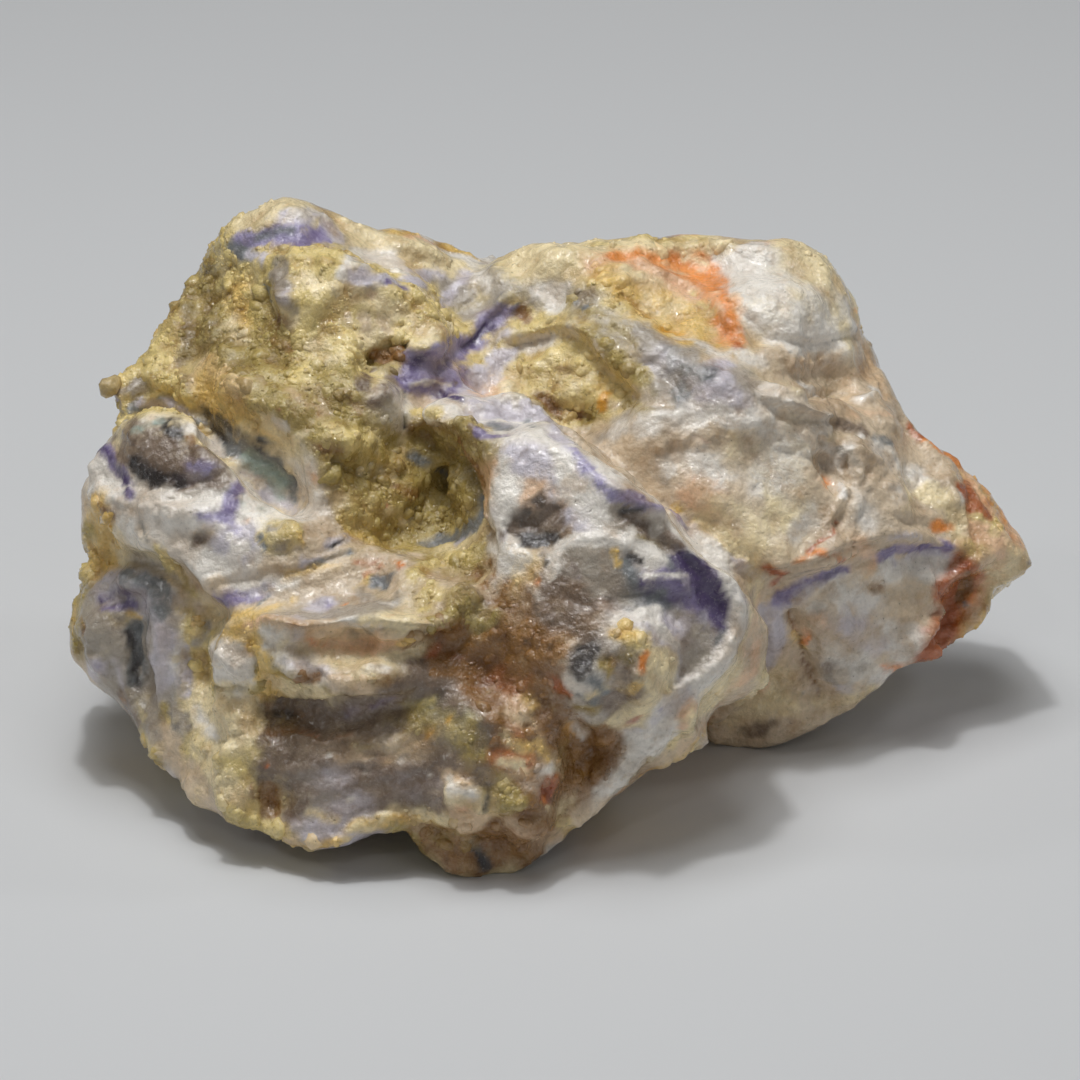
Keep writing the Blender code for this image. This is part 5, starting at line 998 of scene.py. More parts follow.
# The small forms, a row each: kind | half width, height | its path. A swell rises over its path. A ledge
# rises on the left of its path and sinks on the right. Where the height is below zero, both go the other way.
FORMS = """
crown
swell | 1.95 0.9 | -26.2,26 -26,24.3
swell | 0.8 -0.52 | -27.6,26.3 -27.5,23.3 -26.3,21.7
swell | 0.8 -0.45 | -24.3,26.3 -24.1,23.3 -24.7,22
swell | 1.15 0.5 | -28,27.5 -24.7,28.3 -21.3,27.8
swell | 1.72 -0.5 | -29.3,29.3 -26.7,30.4 -22.7,30.1
swell | 1.15 0.35 | -25,32.7 -21.3,32.3
swell | 0.69 -0.17 | -28,31 -24.7,31.7
ledge | 1.84 -0.5 | -34.7,26 -35.2,22 -35.8,17.3 -34.7,14.3
swell | 0.46 -0.33 | -13.7,19.7 -13.6,14.7 -13.5,11.5
swell | 1.26 -1.3 | -16.7,18.3 -14.3,19.3
swell | 0.69 -0.28 | -17,16.8
swell | 1.38 0.7 | -15.5,14.7
swell | 0.8 0.22 | -14.7,16
swell | 1.03 -0.38 | -22,17
swell | 1.38 0.5 | -19.3,17.8
swell | 1.38 0.5 | -24.7,18
swell | 1.15 0.4 | -27.3,17.3
swell | 1.03 0.26 | -26.7,15
swell | 0.92 -0.3 | -29.5,18.5
swell | 1.38 0.4 | -31.3,26 -29.3,24.3
swell | 1.49 0.4 | -33.3,21.7
swell | 1.26 0.4 | -30,21
swell | 0.92 -0.3 | -32,23.3
swell | 0.92 -0.3 | -28,21.7
swell | 1.61 0.4 | -22.3,24
swell | 1.15 0.4 | -20.3,21.3
swell | 0.8 -0.3 | -22.7,21.3
swell | 1.26 0.5 | -18.7,21.7 -16,20.7 -14.3,20.3
swell | 0.8 -0.52 | -14.3,21.2 -12.7,23.2 -11.5,24.3
swell | 0.69 -0.22 | -18.3,19.3 -19.3,20
swell | 0.8 0.3 | -10.3,23.7 -6.7,26.3
swell | 0.57 -0.25 | -8.7,22.7 -5,25.2
swell | 0.92 0.34 | -6.7,21.8 -3.3,24.3
swell | 1.03 0.3 | -11.3,21 -8.7,20.7
swell | 1.03 -0.45 | -17,24.5
swell | 0.57 0.19 | -18.2,25.3 -16,25.8
swell | 1.15 0.4 | -19.3,31.7 -14.7,29.7 -9.7,28.2
swell | 0.69 -0.25 | -20,29 -14.7,28.9 -10,27.3
swell | 0.92 0.26 | -19.3,27 -16,27.8 -13.3,27.2
swell | 0.57 -0.17 | -18,26 -12.7,25.7
swell | 1.15 0.35 | -40.2,17.8 -38,18.7
swell | 0.92 0.3 | -42,14.3 -40.3,15.3
swell | 0.46 -0.22 | -42.7,13.7 -39.7,14.3
swell | 1.49 -0.4 | -31.3,14.3 -28.7,12
swell | 0.8 0.22 | -26.7,11.8
swell | 0.57 0.17 | -24,10.3
swell | 1.38 0.4 | -20.7,14.7 -18,14.3
swell | 1.15 0.35 | -23.3,13.3
swell | 0.69 -0.28 | -4,27.7
swell | 0.92 -0.52 | -1.7,22.7
swell | 1.61 0.5 | 0.3,23.7
purple hollow
ledge | 1.03 0.45 | -13,18.6 -9.7,18.7 -7,20.3 -4.7,22.5
swell | 0.46 0.22 | -12.8,15.6 -10.3,15.9 -8.7,15.6
swell | 0.52 -0.28 | -8.5,15.6
swell | 1.26 -0.5 | -12.7,17.2 -8.7,17.7
swell | 0.8 -0.38 | -10,14.7 -7.7,13.8
swell | 0.69 -0.22 | -6.3,18 -4.3,20.7
swell | 1.26 0.7 | -3.2,15.3
swell | 0.46 -0.22 | -5,14.7 -3.7,13.7 -1.5,14.3
swell | 1.03 0.26 | -2.2,20.7
swell | 0.92 0.26 | -6,16 -4,18.7
swell | 0.57 0.17 | -6.7,13 -3.7,12.8
olive hollow
ledge | 1.26 0.8 | -10.3,11.3 -8.3,9.7 -6.3,7.3 -5.2,4.7 -5.3,2.3
swell | 1.15 -0.8 | -20.2,7.7 -18,6.3
swell | 0.69 -0.28 | -19,5.6 -16,5.7
swell | 1.38 0.5 | -20.7,9.7 -18.7,10.3
swell | 1.38 0.5 | -16,8.7 -14.7,7.3
swell | 1.49 0.6 | -9.7,2.7 -12,2
swell | 0.8 -0.38 | -14,4
swell | 0.92 -0.3 | -8.3,5
swell | 0.57 0.22 | -18,6.7
swell | 0.57 0.22 | -13.7,1.7
swell | 1.15 0.5 | -17.3,2.3
swell | 0.92 0.38 | -12.7,11.3 -10.7,12.2
swell | 1.03 -0.45 | -12.2,10.3 -10.3,9.3
swell | 1.15 0.4 | -18,12.7 -16,11.7
swell | 0.69 -0.28 | -11,-0.5 -8,0 -5.7,1.7
swell | 0.92 0.3 | -22,4 -19.7,4.7
swell | 0.92 0.22 | -23.3,7 -23,4.3
left knob
swell | 0.8 0.38 | -40.8,13 -38.3,14.2 -35.3,13 -33.7,11.3
swell | 0.92 0.41 | -41.3,5 -37,4.4 -33,4.8 -31.2,5.3
swell | 0.52 -0.28 | -40.8,5.6 -37,5.2 -33.3,5.9
ledge | 0.92 0.22 | -34.8,10.7 -34.6,7.3
swell | 0.52 -0.17 | -40.3,8.3 -38.3,6.9 -36,6.3
swell | 0.46 -0.14 | -38.7,10.8 -36.7,9.7
swell | 1.15 0.4 | -41.7,11.3 -40.8,10.2
swell | 0.57 -0.17 | -42.7,9.3 -40.8,7.3
swell | 0.92 0.38 | -40,4 -40.2,1.3 -39.3,-1
swell | 0.92 0.26 | -37,2.3 -36.3,-0.7
swell | 0.57 -0.25 | -38.5,3.3 -38,-0.7
swell | 0.57 -0.19 | -32.3,4.7 -31.3,2.3
swell | 0.69 -0.17 | -29.8,6 -29.3,2.7
swell | 0.92 0.3 | -45,7.3 -44,5.3 -41.7,3.8
swell | 0.46 -0.22 | -44,8.7 -42.7,7 -41.3,5
swell | 0.57 -0.22 | -43,3.7 -41,2.7
swell | 1.03 -0.38 | -34.2,0.2
swell | 0.46 0.17 | -36,0.7 -34.7,1.3 -32.7,1.2
swell | 1.95 0.8 | -25.3,0.7
swell | 0.57 -0.33 | -27.7,1.3 -27.4,-0.7 -26,-1.6 -23.5,-0.7
swell | 1.49 -0.4 | -29.3,6.7 -26.7,5
swell | 0.92 -0.52 | -37,14.2 -33.7,12.3 -30.7,9.3 -27.3,7.7 -25,6
swell | 0.8 0.26 | -34.7,11 -32.3,9.2
swell | 0.8 0.26 | -29.3,2.3 -28.3,0.7
swell | 0.8 0.3 | -44.7,3.2 -43.3,1.3
swell | 0.8 0.19 | -35.3,2.7 -33.3,2
low left knob
swell | 1.03 0.45 | -44.5,-5.3 -42.7,-3.5 -40,-3 -37.7,-4 -36.5,-6.3
swell | 1.38 -0.6 | -43,-5.7 -39.7,-5.7
swell | 0.92 -0.68 | -40.5,-8.7 -40.3,-11.3 -40.6,-14
swell | 0.8 0.38 | -38,-8.3 -38.3,-12.7 -38,-17.3
swell | 0.46 -0.25 | -39.1,-9 -39.3,-14
swell | 0.46 -0.25 | -37.3,-10 -37,-15.3 -37.2,-20
swell | 0.8 0.34 | -36.3,-10 -36.1,-14 -36.5,-18
swell | 0.46 -0.28 | -35.3,-11.3 -34.9,-15.7
swell | 1.15 0.45 | -44.7,-8 -45.2,-11.3 -44,-13.3
swell | 0.92 -0.3 | -43,-12.7 -42.2,-14.7
swell | 0.57 0.17 | -42,-7.7 -40,-7.3
swell | 0.92 0.22 | -41.3,-15.3 -40,-18.7
swell | 0.69 0.22 | -38.3,-20 -38,-22.7
swell | 0.46 -0.22 | -36.7,-19.3 -36.5,-22
swell | 0.57 -0.28 | -39.3,-2 -37,-3.3 -35.2,-5.7
swell | 1.03 0.38 | -43.3,2 -43.7,0
swell | 0.8 -0.38 | -44.7,-1 -45,-3
shelf
swell | 0.57 0.22 | -33.3,-4 -29.3,-2.8 -24.7,-2.3 -21.3,-1.5 -18,-0.3
swell | 0.46 -0.25 | -33,-4.7 -28,-3.7 -22.7,-2.7 -18.7,-1.2
swell | 0.69 0.22 | -26.7,-5 -22.7,-4 -19.3,-2.7
swell | 0.92 -0.22 | -32,-5.5 -27.3,-5.5 -24.7,-4.7
swell | 0.34 -0.19 | -23,-1.8 -19.3,-0.2
swell | 0.46 0.22 | -17.8,-5 -17.2,-6.3 -15.7,-6.9 -14.1,-5.8 -13.9,-4.3 -15,-3.4
swell | 0.92 -0.45 | -15.7,-4.6
swell | 0.69 0.33 | -12.8,-3.2 -11,-2.3 -8.3,-1.8 -6.5,-0.8
swell | 1.61 0.6 | -11.3,-4.8
swell | 1.38 0.5 | -8.5,-5.5
swell | 0.57 -0.28 | -10,-4 -9.7,-7.3
swell | 0.57 -0.28 | -12.7,-3.7 -13,-6 -12,-8
swell | 1.26 0.6 | -21.5,-6.2
swell | 0.46 -0.22 | -19.8,-5.5 -19.6,-7.3
ledge | 1.15 0.7 | -26.7,-8.3 -23.3,-9.2 -19.7,-8.4 -16,-8.4 -11.3,-8.7
swell | 0.92 0.26 | -20.7,-8.5
swell | 0.92 0.26 | -16.3,-8.2
swell | 1.38 0.6 | -24.7,-9.8
swell | 0.57 -0.28 | -27.3,-8.7 -26.7,-11
swell | 0.69 -0.44 | -23,-10.2 -19.7,-10.5 -16.3,-10.8 -13,-10
swell | 1.61 0.7 | -25,-12.8
swell | 1.38 0.5 | -21.7,-13
swell | 1.38 0.7 | -17,-12.7
swell | 1.03 0.38 | -15,-13.2
swell | 0.57 -0.28 | -23.3,-12 -22.9,-14.7
swell | 0.69 -0.33 | -19.3,-12 -18.9,-14
ledge | 1.15 0.7 | -26.7,-15.3 -23.3,-16 -20.3,-15.3 -16,-15.3
swell | 1.03 0.3 | -16.3,-14.3 -14.3,-14
swell | 1.15 -0.4 | -8,-7.3 -6.7,-8.7
swell | 0.69 0.17 | -29.3,-5 -28,-6.7
swell | 1.15 0.4 | -33.3,-7.3 -30,-8.7
swell | 0.57 -0.22 | -29.3,-7.3 -28.7,-10
left edge
swell | 1.84 0.7 | -31.7,-12
swell | 0.57 -0.39 | -32.1,-11.2
swell | 0.69 0.22 | -32.8,-10.4
swell | 0.8 0.26 | -30.6,-12.7
swell | 0.57 0.17 | -31.2,-10.7
swell | 0.69 -0.39 | -29.3,-10 -28.3,-12.7 -29.3,-14.7 -32,-14.7
swell | 0.8 0.38 | -34.2,-8 -34.7,-11.3 -34.3,-15.3
swell | 0.46 -0.28 | -33.3,-9.7 -33.6,-14
swell | 1.38 0.5 | -32,-17
swell | 1.38 0.6 | -29.7,-18
swell | 0.8 -0.38 | -33.3,-18.3
swell | 1.61 0.6 | -31.3,-21.3
swell | 1.15 0.6 | -28.3,-22.3
swell | 1.38 0.5 | -33.7,-23.3
swell | 1.61 0.6 | -31.3,-26.7
swell | 1.15 0.4 | -28.7,-27.7
swell | 0.57 -0.33 | -30.3,-19.4 -33,-20.4
swell | 0.57 -0.33 | -30,-24 -33.3,-25.1
swell | 0.57 -0.39 | -27.8,-24 -27.6,-28
swell | 0.69 -0.33 | -28,-17 -28.7,-20 -27.5,-22.3
swell | 0.69 0.22 | -34.7,-17.3 -34.3,-20.7
swell | 0.69 0.22 | -35.3,-24 -35.7,-26
swell | 0.57 0.22 | -32,-15.3 -29.3,-15.3
slab
swell | 1.61 -0.7 | -26.7,-17 -22.7,-18.1 -18,-18.1 -13,-16.1
swell | 0.92 0.34 | -24.7,-19.7 -20.7,-20.3 -18,-19.4
swell | 0.8 0.3 | -18.7,-20.8 -14.7,-20.2 -10.7,-17.5
swell | 1.03 0.26 | -24.7,-23 -19.7,-21.7 -16,-22.3
swell | 1.03 0.22 | -22.7,-25.7 -18,-24 -12,-22.7
swell | 0.57 -0.19 | -19.3,-21.7 -14.7,-21.3 -10.3,-19
swell | 0.57 -0.19 | -24,-24.3 -18.7,-23 -13.3,-21.7
swell | 1.03 -0.75 | -27.2,-25 -26.7,-27
swell | 0.69 0.33 | -26.7,-30.3 -23.3,-30.9 -20.3,-30.3 -18,-28.4 -14.7,-27.7 -11.3,-27.8
swell | 0.69 -0.28 | -24.7,-29.3 -20.7,-29.1 -18,-27.3 -13,-26.7
swell | 0.92 0.22 | -10,-16.7 -7.3,-16.7
swell | 0.69 -0.17 | -9.3,-18.3 -5.3,-19.3
swell | 0.92 0.22 | -26,-20.7 -25.3,-23
rough ground
swell | 2.18 0.9 | -8.4,-25.6
swell | 1.84 0.6 | -3.2,-25.6
swell | 0.57 -0.39 | -5.2,-24.7 -5.4,-26.9
ledge | 0.92 0.45 | -6.8,-27.5 -4.7,-27.3 -1.1,-27
swell | 1.26 -0.6 | 0.8,-25.4
swell | 1.15 0.5 | -1.1,-17
swell | 1.03 0.38 | 0.9,-17.7
swell | 1.03 0.38 | -2.7,-21.8
swell | 0.8 -0.6 | -1.1,-18.7
swell | 1.03 0.45 | 5,-15.7
swell | 1.03 0.38 | 4,-19
swell | 0.8 -0.38 | 2.4,-15.9
swell | 0.92 0.3 | -4.7,-18.5
swell | 0.69 -0.33 | -3.2,-15.9 -3.7,-19.5
swell | 1.15 0.5 | -6.8,-5.7
swell | 1.03 0.3 | -4.7,-7.3
swell | 1.15 0.4 | -3.2,-9.3
swell | 0.92 -0.38 | -1.1,-10.3
swell | 0.8 -0.38 | -5.7,-9.1 -7.3,-9.8
swell | 1.03 0.3 | 1.4,-20.8
swell | 0.8 -0.38 | 2.9,-22.6 5,-21.6
swell | 1.15 0.4 | 6,-23.6
swell | 0.8 -0.38 | -0.1,-13.4 1.9,-14.4
swell | 1.49 0.6 | -8.3,-30.2
swell | 0.69 -0.33 | -6.2,-30.2 -5.7,-32.3
swell | 1.61 0.5 | -2.7,-30.5 -0.6,-31
swell | 0.8 0.3 | 1.9,-28.9 2.9,-27.2
swell | 0.69 -0.28 | -4.7,-28.4 0.4,-27.7
swell | 1.15 0.35 | 0.4,-8.3
swell | 0.69 -0.22 | 2.9,-9.8 1.4,-11.3
nose
swell | 1.03 0.38 | -6.8,13.6 -3.7,12.5 -0.1,12.5 2.7,10 5.2,6.4 9.1,3.9 14.2,2.1 17.5,-0.7
swell | 0.8 -0.68 | -0.6,13.8 2.2,11.5 5,9 7.8,6.7 11.6,4.6 14.9,2.1
swell | 0.92 -0.26 | -3.2,10.5
swell | 1.15 -0.35 | -1.7,8.3
swell | 0.69 0.17 | -0.1,11 1.4,9
swell | 1.38 -0.6 | -2.7,1.2 -0.1,1.7 1.4,2.9
swell | 0.69 0.22 | -3.7,-1.1 -1.1,-1.5
swell | 0.57 -0.17 | -1.1,-0.1 1.2,-0.1
swell | 1.26 -0.6 | 8.6,2.7 10.6,1.2 12.4,-0.9
swell | 0.69 0.28 | 1.2,-2.7 2.2,-0.9 4,0.1 6.5,0.4 8.6,-0.4
swell | 0.69 0.19 | 10.6,-1.4 11.5,-2.2
swell | 0.57 -0.17 | 2.9,-1.7 3.2,-3.7
swell | 0.57 -0.22 | 0.9,-1.7 0.4,-3.7
swell | 0.46 0.14 | 10.8,-3.8 13.1,-3.7 14.9,-3.4
ledge | 0.92 0.26 | 9.1,-5.2 11.1,-4.7 13.9,-5
swell | 0.69 0.22 | 10.3,-7.5 11.9,-7 12.2,-8.5 13.9,-10.6
ledge | 1.03 0.52 | 14.2,-1.1 16.7,-3.4 18.5,-6 19.3,-8.3 18.2,-10.8 16.2,-12.9 13.9,-14.4
swell | 1.26 0.6 | 8.6,-10.3
swell | 1.26 0.5 | 9.6,-13.9
swell | 1.38 0.5 | 12.4,-12.9
swell | 0.57 -0.33 | 6.5,-11.9 6.3,-14.4
swell | 0.46 -0.22 | 11.1,-11.9 10.8,-14.9
swell | 0.69 -0.28 | 4,-12.4 4.7,-10.3 7,-8.8
swell | 0.57 -0.25 | 19.3,-11.9 16.2,-15.2 13.9,-18.2 11.4,-21.6 8.6,-23.6
swell | 0.46 -0.22 | 20.3,-11.9 17.5,-16.2 14.9,-19.3
swell | 0.92 -0.34 | 12.9,-17 11.6,-19.5 9.3,-22.1
swell | 0.8 0.3 | 13.4,-18.5 11.1,-21.8 8,-24.4
ledge | 0.92 -0.45 | 20.8,-15.9 17.7,-18.2 14.2,-21.6 10.3,-24.1 6.5,-26.9 3.7,-28.4
swell | 1.26 0.8 | 20,-2
swell | 0.46 -0.28 | 19.1,-1.4 19.3,-2.9 20.4,-3.4
swell | 0.57 0.28 | 13.9,2.9 15.2,1.8 16.5,1.3
swell | 0.8 0.26 | -1.1,-4.7 0.4,-6.8
swell | 0.92 -0.26 | 2.2,-5 4,-6.8
swell | 1.03 -0.38 | 8,-19.5 5.5,-21.6
swell | 0.8 0.3 | -4.7,3.4 -4.2,0.9 -3.7,-2.4
swell | 0.69 -0.19 | -2.7,-2.4 -0.6,-4.2
dome
ledge | 1.15 0.7 | -1.1,20.2 1.4,20.9 3.4,20.9 5.2,19.7 6.8,17.6 8.8,15.8
swell | 1.15 0.5 | 0.9,18.7
swell | 1.03 0.38 | 2.9,17.5
swell | 1.03 0.3 | 1.4,16
swell | 0.69 -0.33 | 2.7,16.9
swell | 1.03 -0.83 | -0.1,14.3 2.2,13 4.7,12.2
swell | 1.03 0.3 | -2.2,21.2
swell | 1.03 0.3 | -0.6,17.1
swell | 0.8 0.3 | 6.8,14.3 6,13
swell | 0.92 0.34 | 5.2,20.7 7.5,18.4 9.8,16.6
swell | 0.57 -0.28 | 6.5,21.7 9.1,19.4 11.1,17.1
swell | 0.8 0.26 | 3.2,24 6.5,22 9.6,20.2 11.1,18.1
swell | 0.57 -0.33 | 4,23.7
ledge | 0.92 0.3 | 10.3,27.6 13.7,26.1 16.7,24 19.3,20.7
swell | 1.03 0.26 | 8.6,25.8
swell | 1.03 0.26 | 12.1,24
swell | 0.92 0.26 | 11.1,21.7
swell | 0.92 -0.45 | 13.9,20.6
swell | 0.57 -0.19 | 9.8,23.5
swell | 0.92 -0.34 | 17.1,16.6
swell | 1.61 -0.2 | 5.5,11.5 8.6,10.5 12.9,10.5 16.2,12
swell | 1.26 0.35 | 9.1,12.9 12.9,12.3 16.7,13.6
swell | 0.92 0.26 | 11.1,16.6 12.9,14.1
swell | 0.69 -0.17 | 12.6,16.4 14.2,14.3
swell | 2.18 0.8 | 11.5,10.5 16,11 21,11.5 25,11 28,9.5
swell | 0.46 -0.17 | 21.7,8 21.6,5
swell | 0.52 -0.33 | 26.7,-1.3 29.8,2 31.1,4
ledge | 0.92 -0.19 | 28.7,9.3 27.7,6.7 29.3,4 29.7,1.7
ledge | 1.03 0.38 | 20.3,23 23.3,20.6 27,19.8 30.8,20.7
swell | 0.57 -0.14 | 22,25.3 24.7,24.3 26.7,22.7
swell | 0.69 0.17 | 19.3,27.7 22.7,26.8 26,25
swell | 0.92 0.22 | 20.7,23.3 22.7,22
swell | 0.46 -0.17 | 30.7,25.7 31.7,23
swell | 1.15 -0.4 | 23.7,18.3 27.3,18.3 30.3,18.9
swell | 0.69 0.22 | 25.3,17.3
swell | 0.69 0.22 | 27.3,17.6
swell | 0.57 0.33 | 22.7,15.3 24.7,14.8
swell | 0.52 0.33 | 25.8,15.7 28.6,14.1
swell | 0.92 0.52 | 25,13.8 27.7,12.7 29.2,11
swell | 0.57 -0.33 | 25.3,11.9 28.3,10.3
swell | 0.69 -0.33 | 28.7,15.3 30.1,12.3
swell | 0.4 -0.22 | 23.3,14.3 25,14
swell | 0.34 -0.17 | 25.3,15.8 28.7,14.8
swell | 1.15 0.6 | 31.3,14 33.7,14.3
swell | 0.8 -0.45 | 30.7,11.3 32,10.6
swell | 0.92 -0.83 | 30.2,7.7
swell | 0.52 0.28 | 31.1,4.9 30.1,5.7 29.7,7.3
swell | 0.52 0.25 | 32,9.9 30.3,8.3
swell | 1.03 -0.3 | 34.7,9.6
swell | 1.38 0.5 | 37,6.3 39.3,5.7
swell | 1.15 0.5 | 41.3,3.9
swell | 0.69 -0.28 | 35.3,2.6 37.3,1.3 41.7,0.3
swell | 0.57 -0.28 | 33,4.7 32.1,2 31.4,-0.3
swell | 0.8 0.26 | 34,0.7 38.7,0.6
swell | 0.69 -0.28 | 31.7,20.7 33.4,17.3 34.7,14.3
swell | 0.57 -0.22 | 36,8.3 34,5.3
swell | 0.92 0.3 | 33,12.7 35.3,11.3
swell | 1.03 0.26 | 5.3,28 9.3,29 14,29.3
swell | 0.69 -0.17 | 7.3,26.7 12,27.7
swell | 0.92 0.22 | 18,29.7 22,29
swell | 1.15 0.3 | 11.7,12.3 16,12.7 20,14
low right and snout
swell | 0.69 -0.39 | 37,11.3 40.3,9.3 42,7.3 43.1,4.7 43.4,0.7
ledge | 1.03 0.52 | 23.3,-3 27.3,-2.1 30.3,-0.7 33.7,0 38.7,-0.3 41.3,-1.3
swell | 0.57 0.28 | 23.7,-5.7 25.3,-6.6 27,-5 29.7,-3.3
swell | 0.57 -0.33 | 23.3,-4.7 26.7,-4 29.3,-2.4
swell | 1.03 -0.38 | 33.2,-4.7
swell | 0.69 0.22 | 31,-5.4
swell | 1.38 0.35 | 35.7,-3.7
swell | 0.57 -0.22 | 33.7,-2 37.3,-0.8
swell | 0.8 -0.38 | 25,-7.2 25.8,-10 27,-13.3 27.8,-15.7
ledge | 0.92 -0.6 | 39.7,-3.7 40.1,-7 38.3,-10.7
swell | 1.38 0.35 | 30.3,-9.3 35.3,-7.7
swell | 1.15 -0.4 | 29.3,-12.7 33,-12.3
swell | 0.92 0.22 | 34.7,-12.7
swell | 1.03 0.26 | 23.3,-8 23.7,-10.7
swell | 0.69 0.19 | 43.7,7.3 46,4 48,0.7
swell | 0.57 -0.22 | 43,6 45,3 46.7,-0.3
swell | 0.57 0.17 | 45,5.7 47.3,2.3 48.7,-0.7
swell | 0.92 0.26 | 43.7,-4.3 46.3,-3.7 49.3,-3
swell | 0.46 0.22 | 42.5,-3.7 40.3,-5.3
swell | 0.46 -0.28 | 42.8,-4.8 40.3,-6.5
swell | 0.46 0.22 | 43,-6 40.3,-7.7
swell | 0.46 -0.28 | 42.7,-7.3 39.7,-8.8
swell | 0.46 0.22 | 42,-8.3 39,-9.8
swell | 0.46 -0.28 | 41,-9.7 38.3,-11
swell | 0.57 0.22 | 38.7,-5.3 39,-9.3
swell | 0.69 -0.17 | 31.3,-2 32,-2.3
swell | 0.92 0.22 | 38,-5.7 38.7,-3.3
swell | 1.03 0.26 | 27.3,-8.3 28.3,-11
swell | 0.8 0.26 | 23.3,-12.7 22,-15
shards and lobes
ledge | 0.75 0.45 | 22.5,15.5 25.5,14.5 29,15
ledge | 0.8 0.52 | 23.5,13.8 27,12.5 29.5,12
swell | 0.75 0.45 | 24,14.8 26,14.2
swell | 0.8 0.52 | 26,13 29,12.4
ledge | 0.75 -0.45 | 28.5,7 30.8,5 29.8,2.5
ledge | 0.75 0.38 | 28,10.5 30,9 29,7
swell | 0.8 0.45 | 32,9 34,8
swell | 0.92 0.38 | 34,5 37,6
swell | 0.75 -0.45 | 33,7 32,5
swell | 0.92 0.38 | 36,3 39,2
ledge | 0.92 0.38 | 37,11 40,7 42,2
ledge | 0.8 -0.45 | 38,-9.5 39.8,-7.1 40.1,-4.3 42.5,-2.3
swell | 1.15 0.6 | -31.4,-11.6 -30.2,-12.8
swell | 0.92 0.38 | -23,-8.4 -18.2,-8.8
swell | 0.92 -0.52 | -22.2,-13.6
swell | 0.92 0.38 | -17.4,-12
swell | 1.03 0.38 | -25,-11.6 -23.8,-14
swell | 1.03 -0.38 | -41.4,-6.8 -40.6,-11.6
swell | 1.95 0.7 | -31.7,-11.7
swell | 1.49 0.6 | -30.1,-13.1
swell | 1.26 0.45 | -32.6,-13.3
"""


def rows_of(table):
    """Each row of a table as (name, path, its two numbers). A row without bars names a part of the stone."""
    for row in table.splitlines():
        if "|" in row:
            name, numbers, path = row.split("|")
            first, second = map(float, numbers.split())
            yield name.strip(), [tuple(map(float, spot.split(","))) for spot in path.split()], first, second


def place(across, up):
    """The point of the display plane at (across, up), in millimetres."""
    return ORIGIN_MM + (ACROSS * across + UP * up)


def points_of(mesh):
    flat = np.empty(len(mesh.vertices) * 3)
    mesh.vertices.foreach_get("co", flat)
    return flat.reshape(-1, 3) / MM


def set_points(mesh, points):
    mesh.vertices.foreach_set("co", (points * MM).ravel())
    mesh.update()


def normals_of(mesh):
    flat = np.empty(len(mesh.vertices) * 3)
    mesh.vertex_normals.foreach_get("vector", flat)
    return flat.reshape(-1, 3)


def ends_of(mesh):
    flat = np.empty(len(mesh.edges) * 2, dtype=np.int64)
    mesh.edges.foreach_get("vertices", flat)
    return flat.reshape(-1, 2)


def neighbour_mean(values, ends):
    """Each point's value averaged over the points that share an edge with it."""
    total = np.zeros_like(values)
    count = np.bincount(ends.ravel(), minlength=len(values))
    for column in range(values.shape[1]):
        for first, second in ((0, 1), (1, 0)):
            total[:, column] += np.bincount(ends[:, first], values[ends[:, second], column], len(values))
    return total / count[:, None]


def soften(mesh, rounds):
    """Smooths the skin without shrinking it: each pull in is followed by a slightly larger push out."""
    points, ends = points_of(mesh), ends_of(mesh)
    for _ in range(rounds):
        for pull in (0.5, -0.52):
            points = points + pull * (neighbour_mean(points, ends) - points)
    set_points(mesh, points)


def seeded(points, size, seed):
    """The points in cells of this size in millimetres, moved to a stretch of the noise of their own."""
    return map(Vector, (points / size + np.array([seed, 2.0 * seed, 3.0 * seed])).tolist())


def lumps(points, size, seed):
    """Soft noise, about -1 to 1, with lumps of this size in millimetres."""
    return np.array([noise.noise(spot) for spot in seeded(points, size, seed)])


def cells(points, size, seed):
    """(distance to the nearest cell middle, how far the second is beyond it), in cells of this size."""
    found = np.array([noise.voronoi(spot)[0][:2] for spot in seeded(points, size, seed)])
    return found[:, 0], found[:, 1] - found[:, 0]


def wander_of(points, size, fine_size, seed):
    """How far to move each point, in parts of a width, so that what is laid there gets an uneven edge."""
    seeds = [seed + 10 * axis for axis in range(3)]
    return np.stack([lumps(points, size, own) + 0.5 * lumps(points, fine_size, own + 5) for own in seeds], 1)


def toward_eye(points, normals):
    """How squarely the skin faces the eye at each point: 1 head on, 0 edge on, below 0 turned away."""
    lines = EYE_POINT_MM - points
    return (lines * normals).sum(axis=1) / np.linalg.norm(lines, axis=1)


def keep_flats(points, before):
    """Lets nothing sink below FLAT_MM; what was lower before, the resting flats, sinks no further."""
    points[:, 2] = np.maximum(points[:, 2], np.minimum(before[:, 2], FLAT_MM))


def make_skin(stone):
    """A fine copy of the solid's surface, finest on the side towards the eye."""
    holder = bpy.data.objects.new("holder", stone.data.copy())
    bpy.context.scene.collection.objects.link(holder)
    remesh = holder.modifiers.new("cells", "REMESH")
    remesh.mode = "VOXEL"
    remesh.voxel_size = SKIN_MM * MM
    graph = bpy.context.evaluated_depsgraph_get()
    skin = bpy.data.meshes.new_from_object(holder.evaluated_get(graph))
    bpy.data.objects.remove(holder, do_unlink=True)
    soften(skin, 3)
    build = bmesh.new()
    build.from_mesh(skin)
    faces = [face for face in build.faces if face.normal.dot(EYE_POINT - face.calc_center_median()) > 0.0]
    edges = list({edge for face in faces for edge in face.edges})
    bmesh.ops.subdivide_edges(build, edges=edges, cuts=1, use_grid_fill=True)
    bmesh.ops.triangulate(build, faces=[face for face in build.faces if len(face.verts) > 4])
    build.to_mesh(skin)
    build.free()
    skin.materials.clear()
    soften(skin, 1)
    return skin


def tree_of(mesh):
    return BVHTree.FromPolygons([v.co for v in mesh.vertices], [f.vertices for f in mesh.polygons])


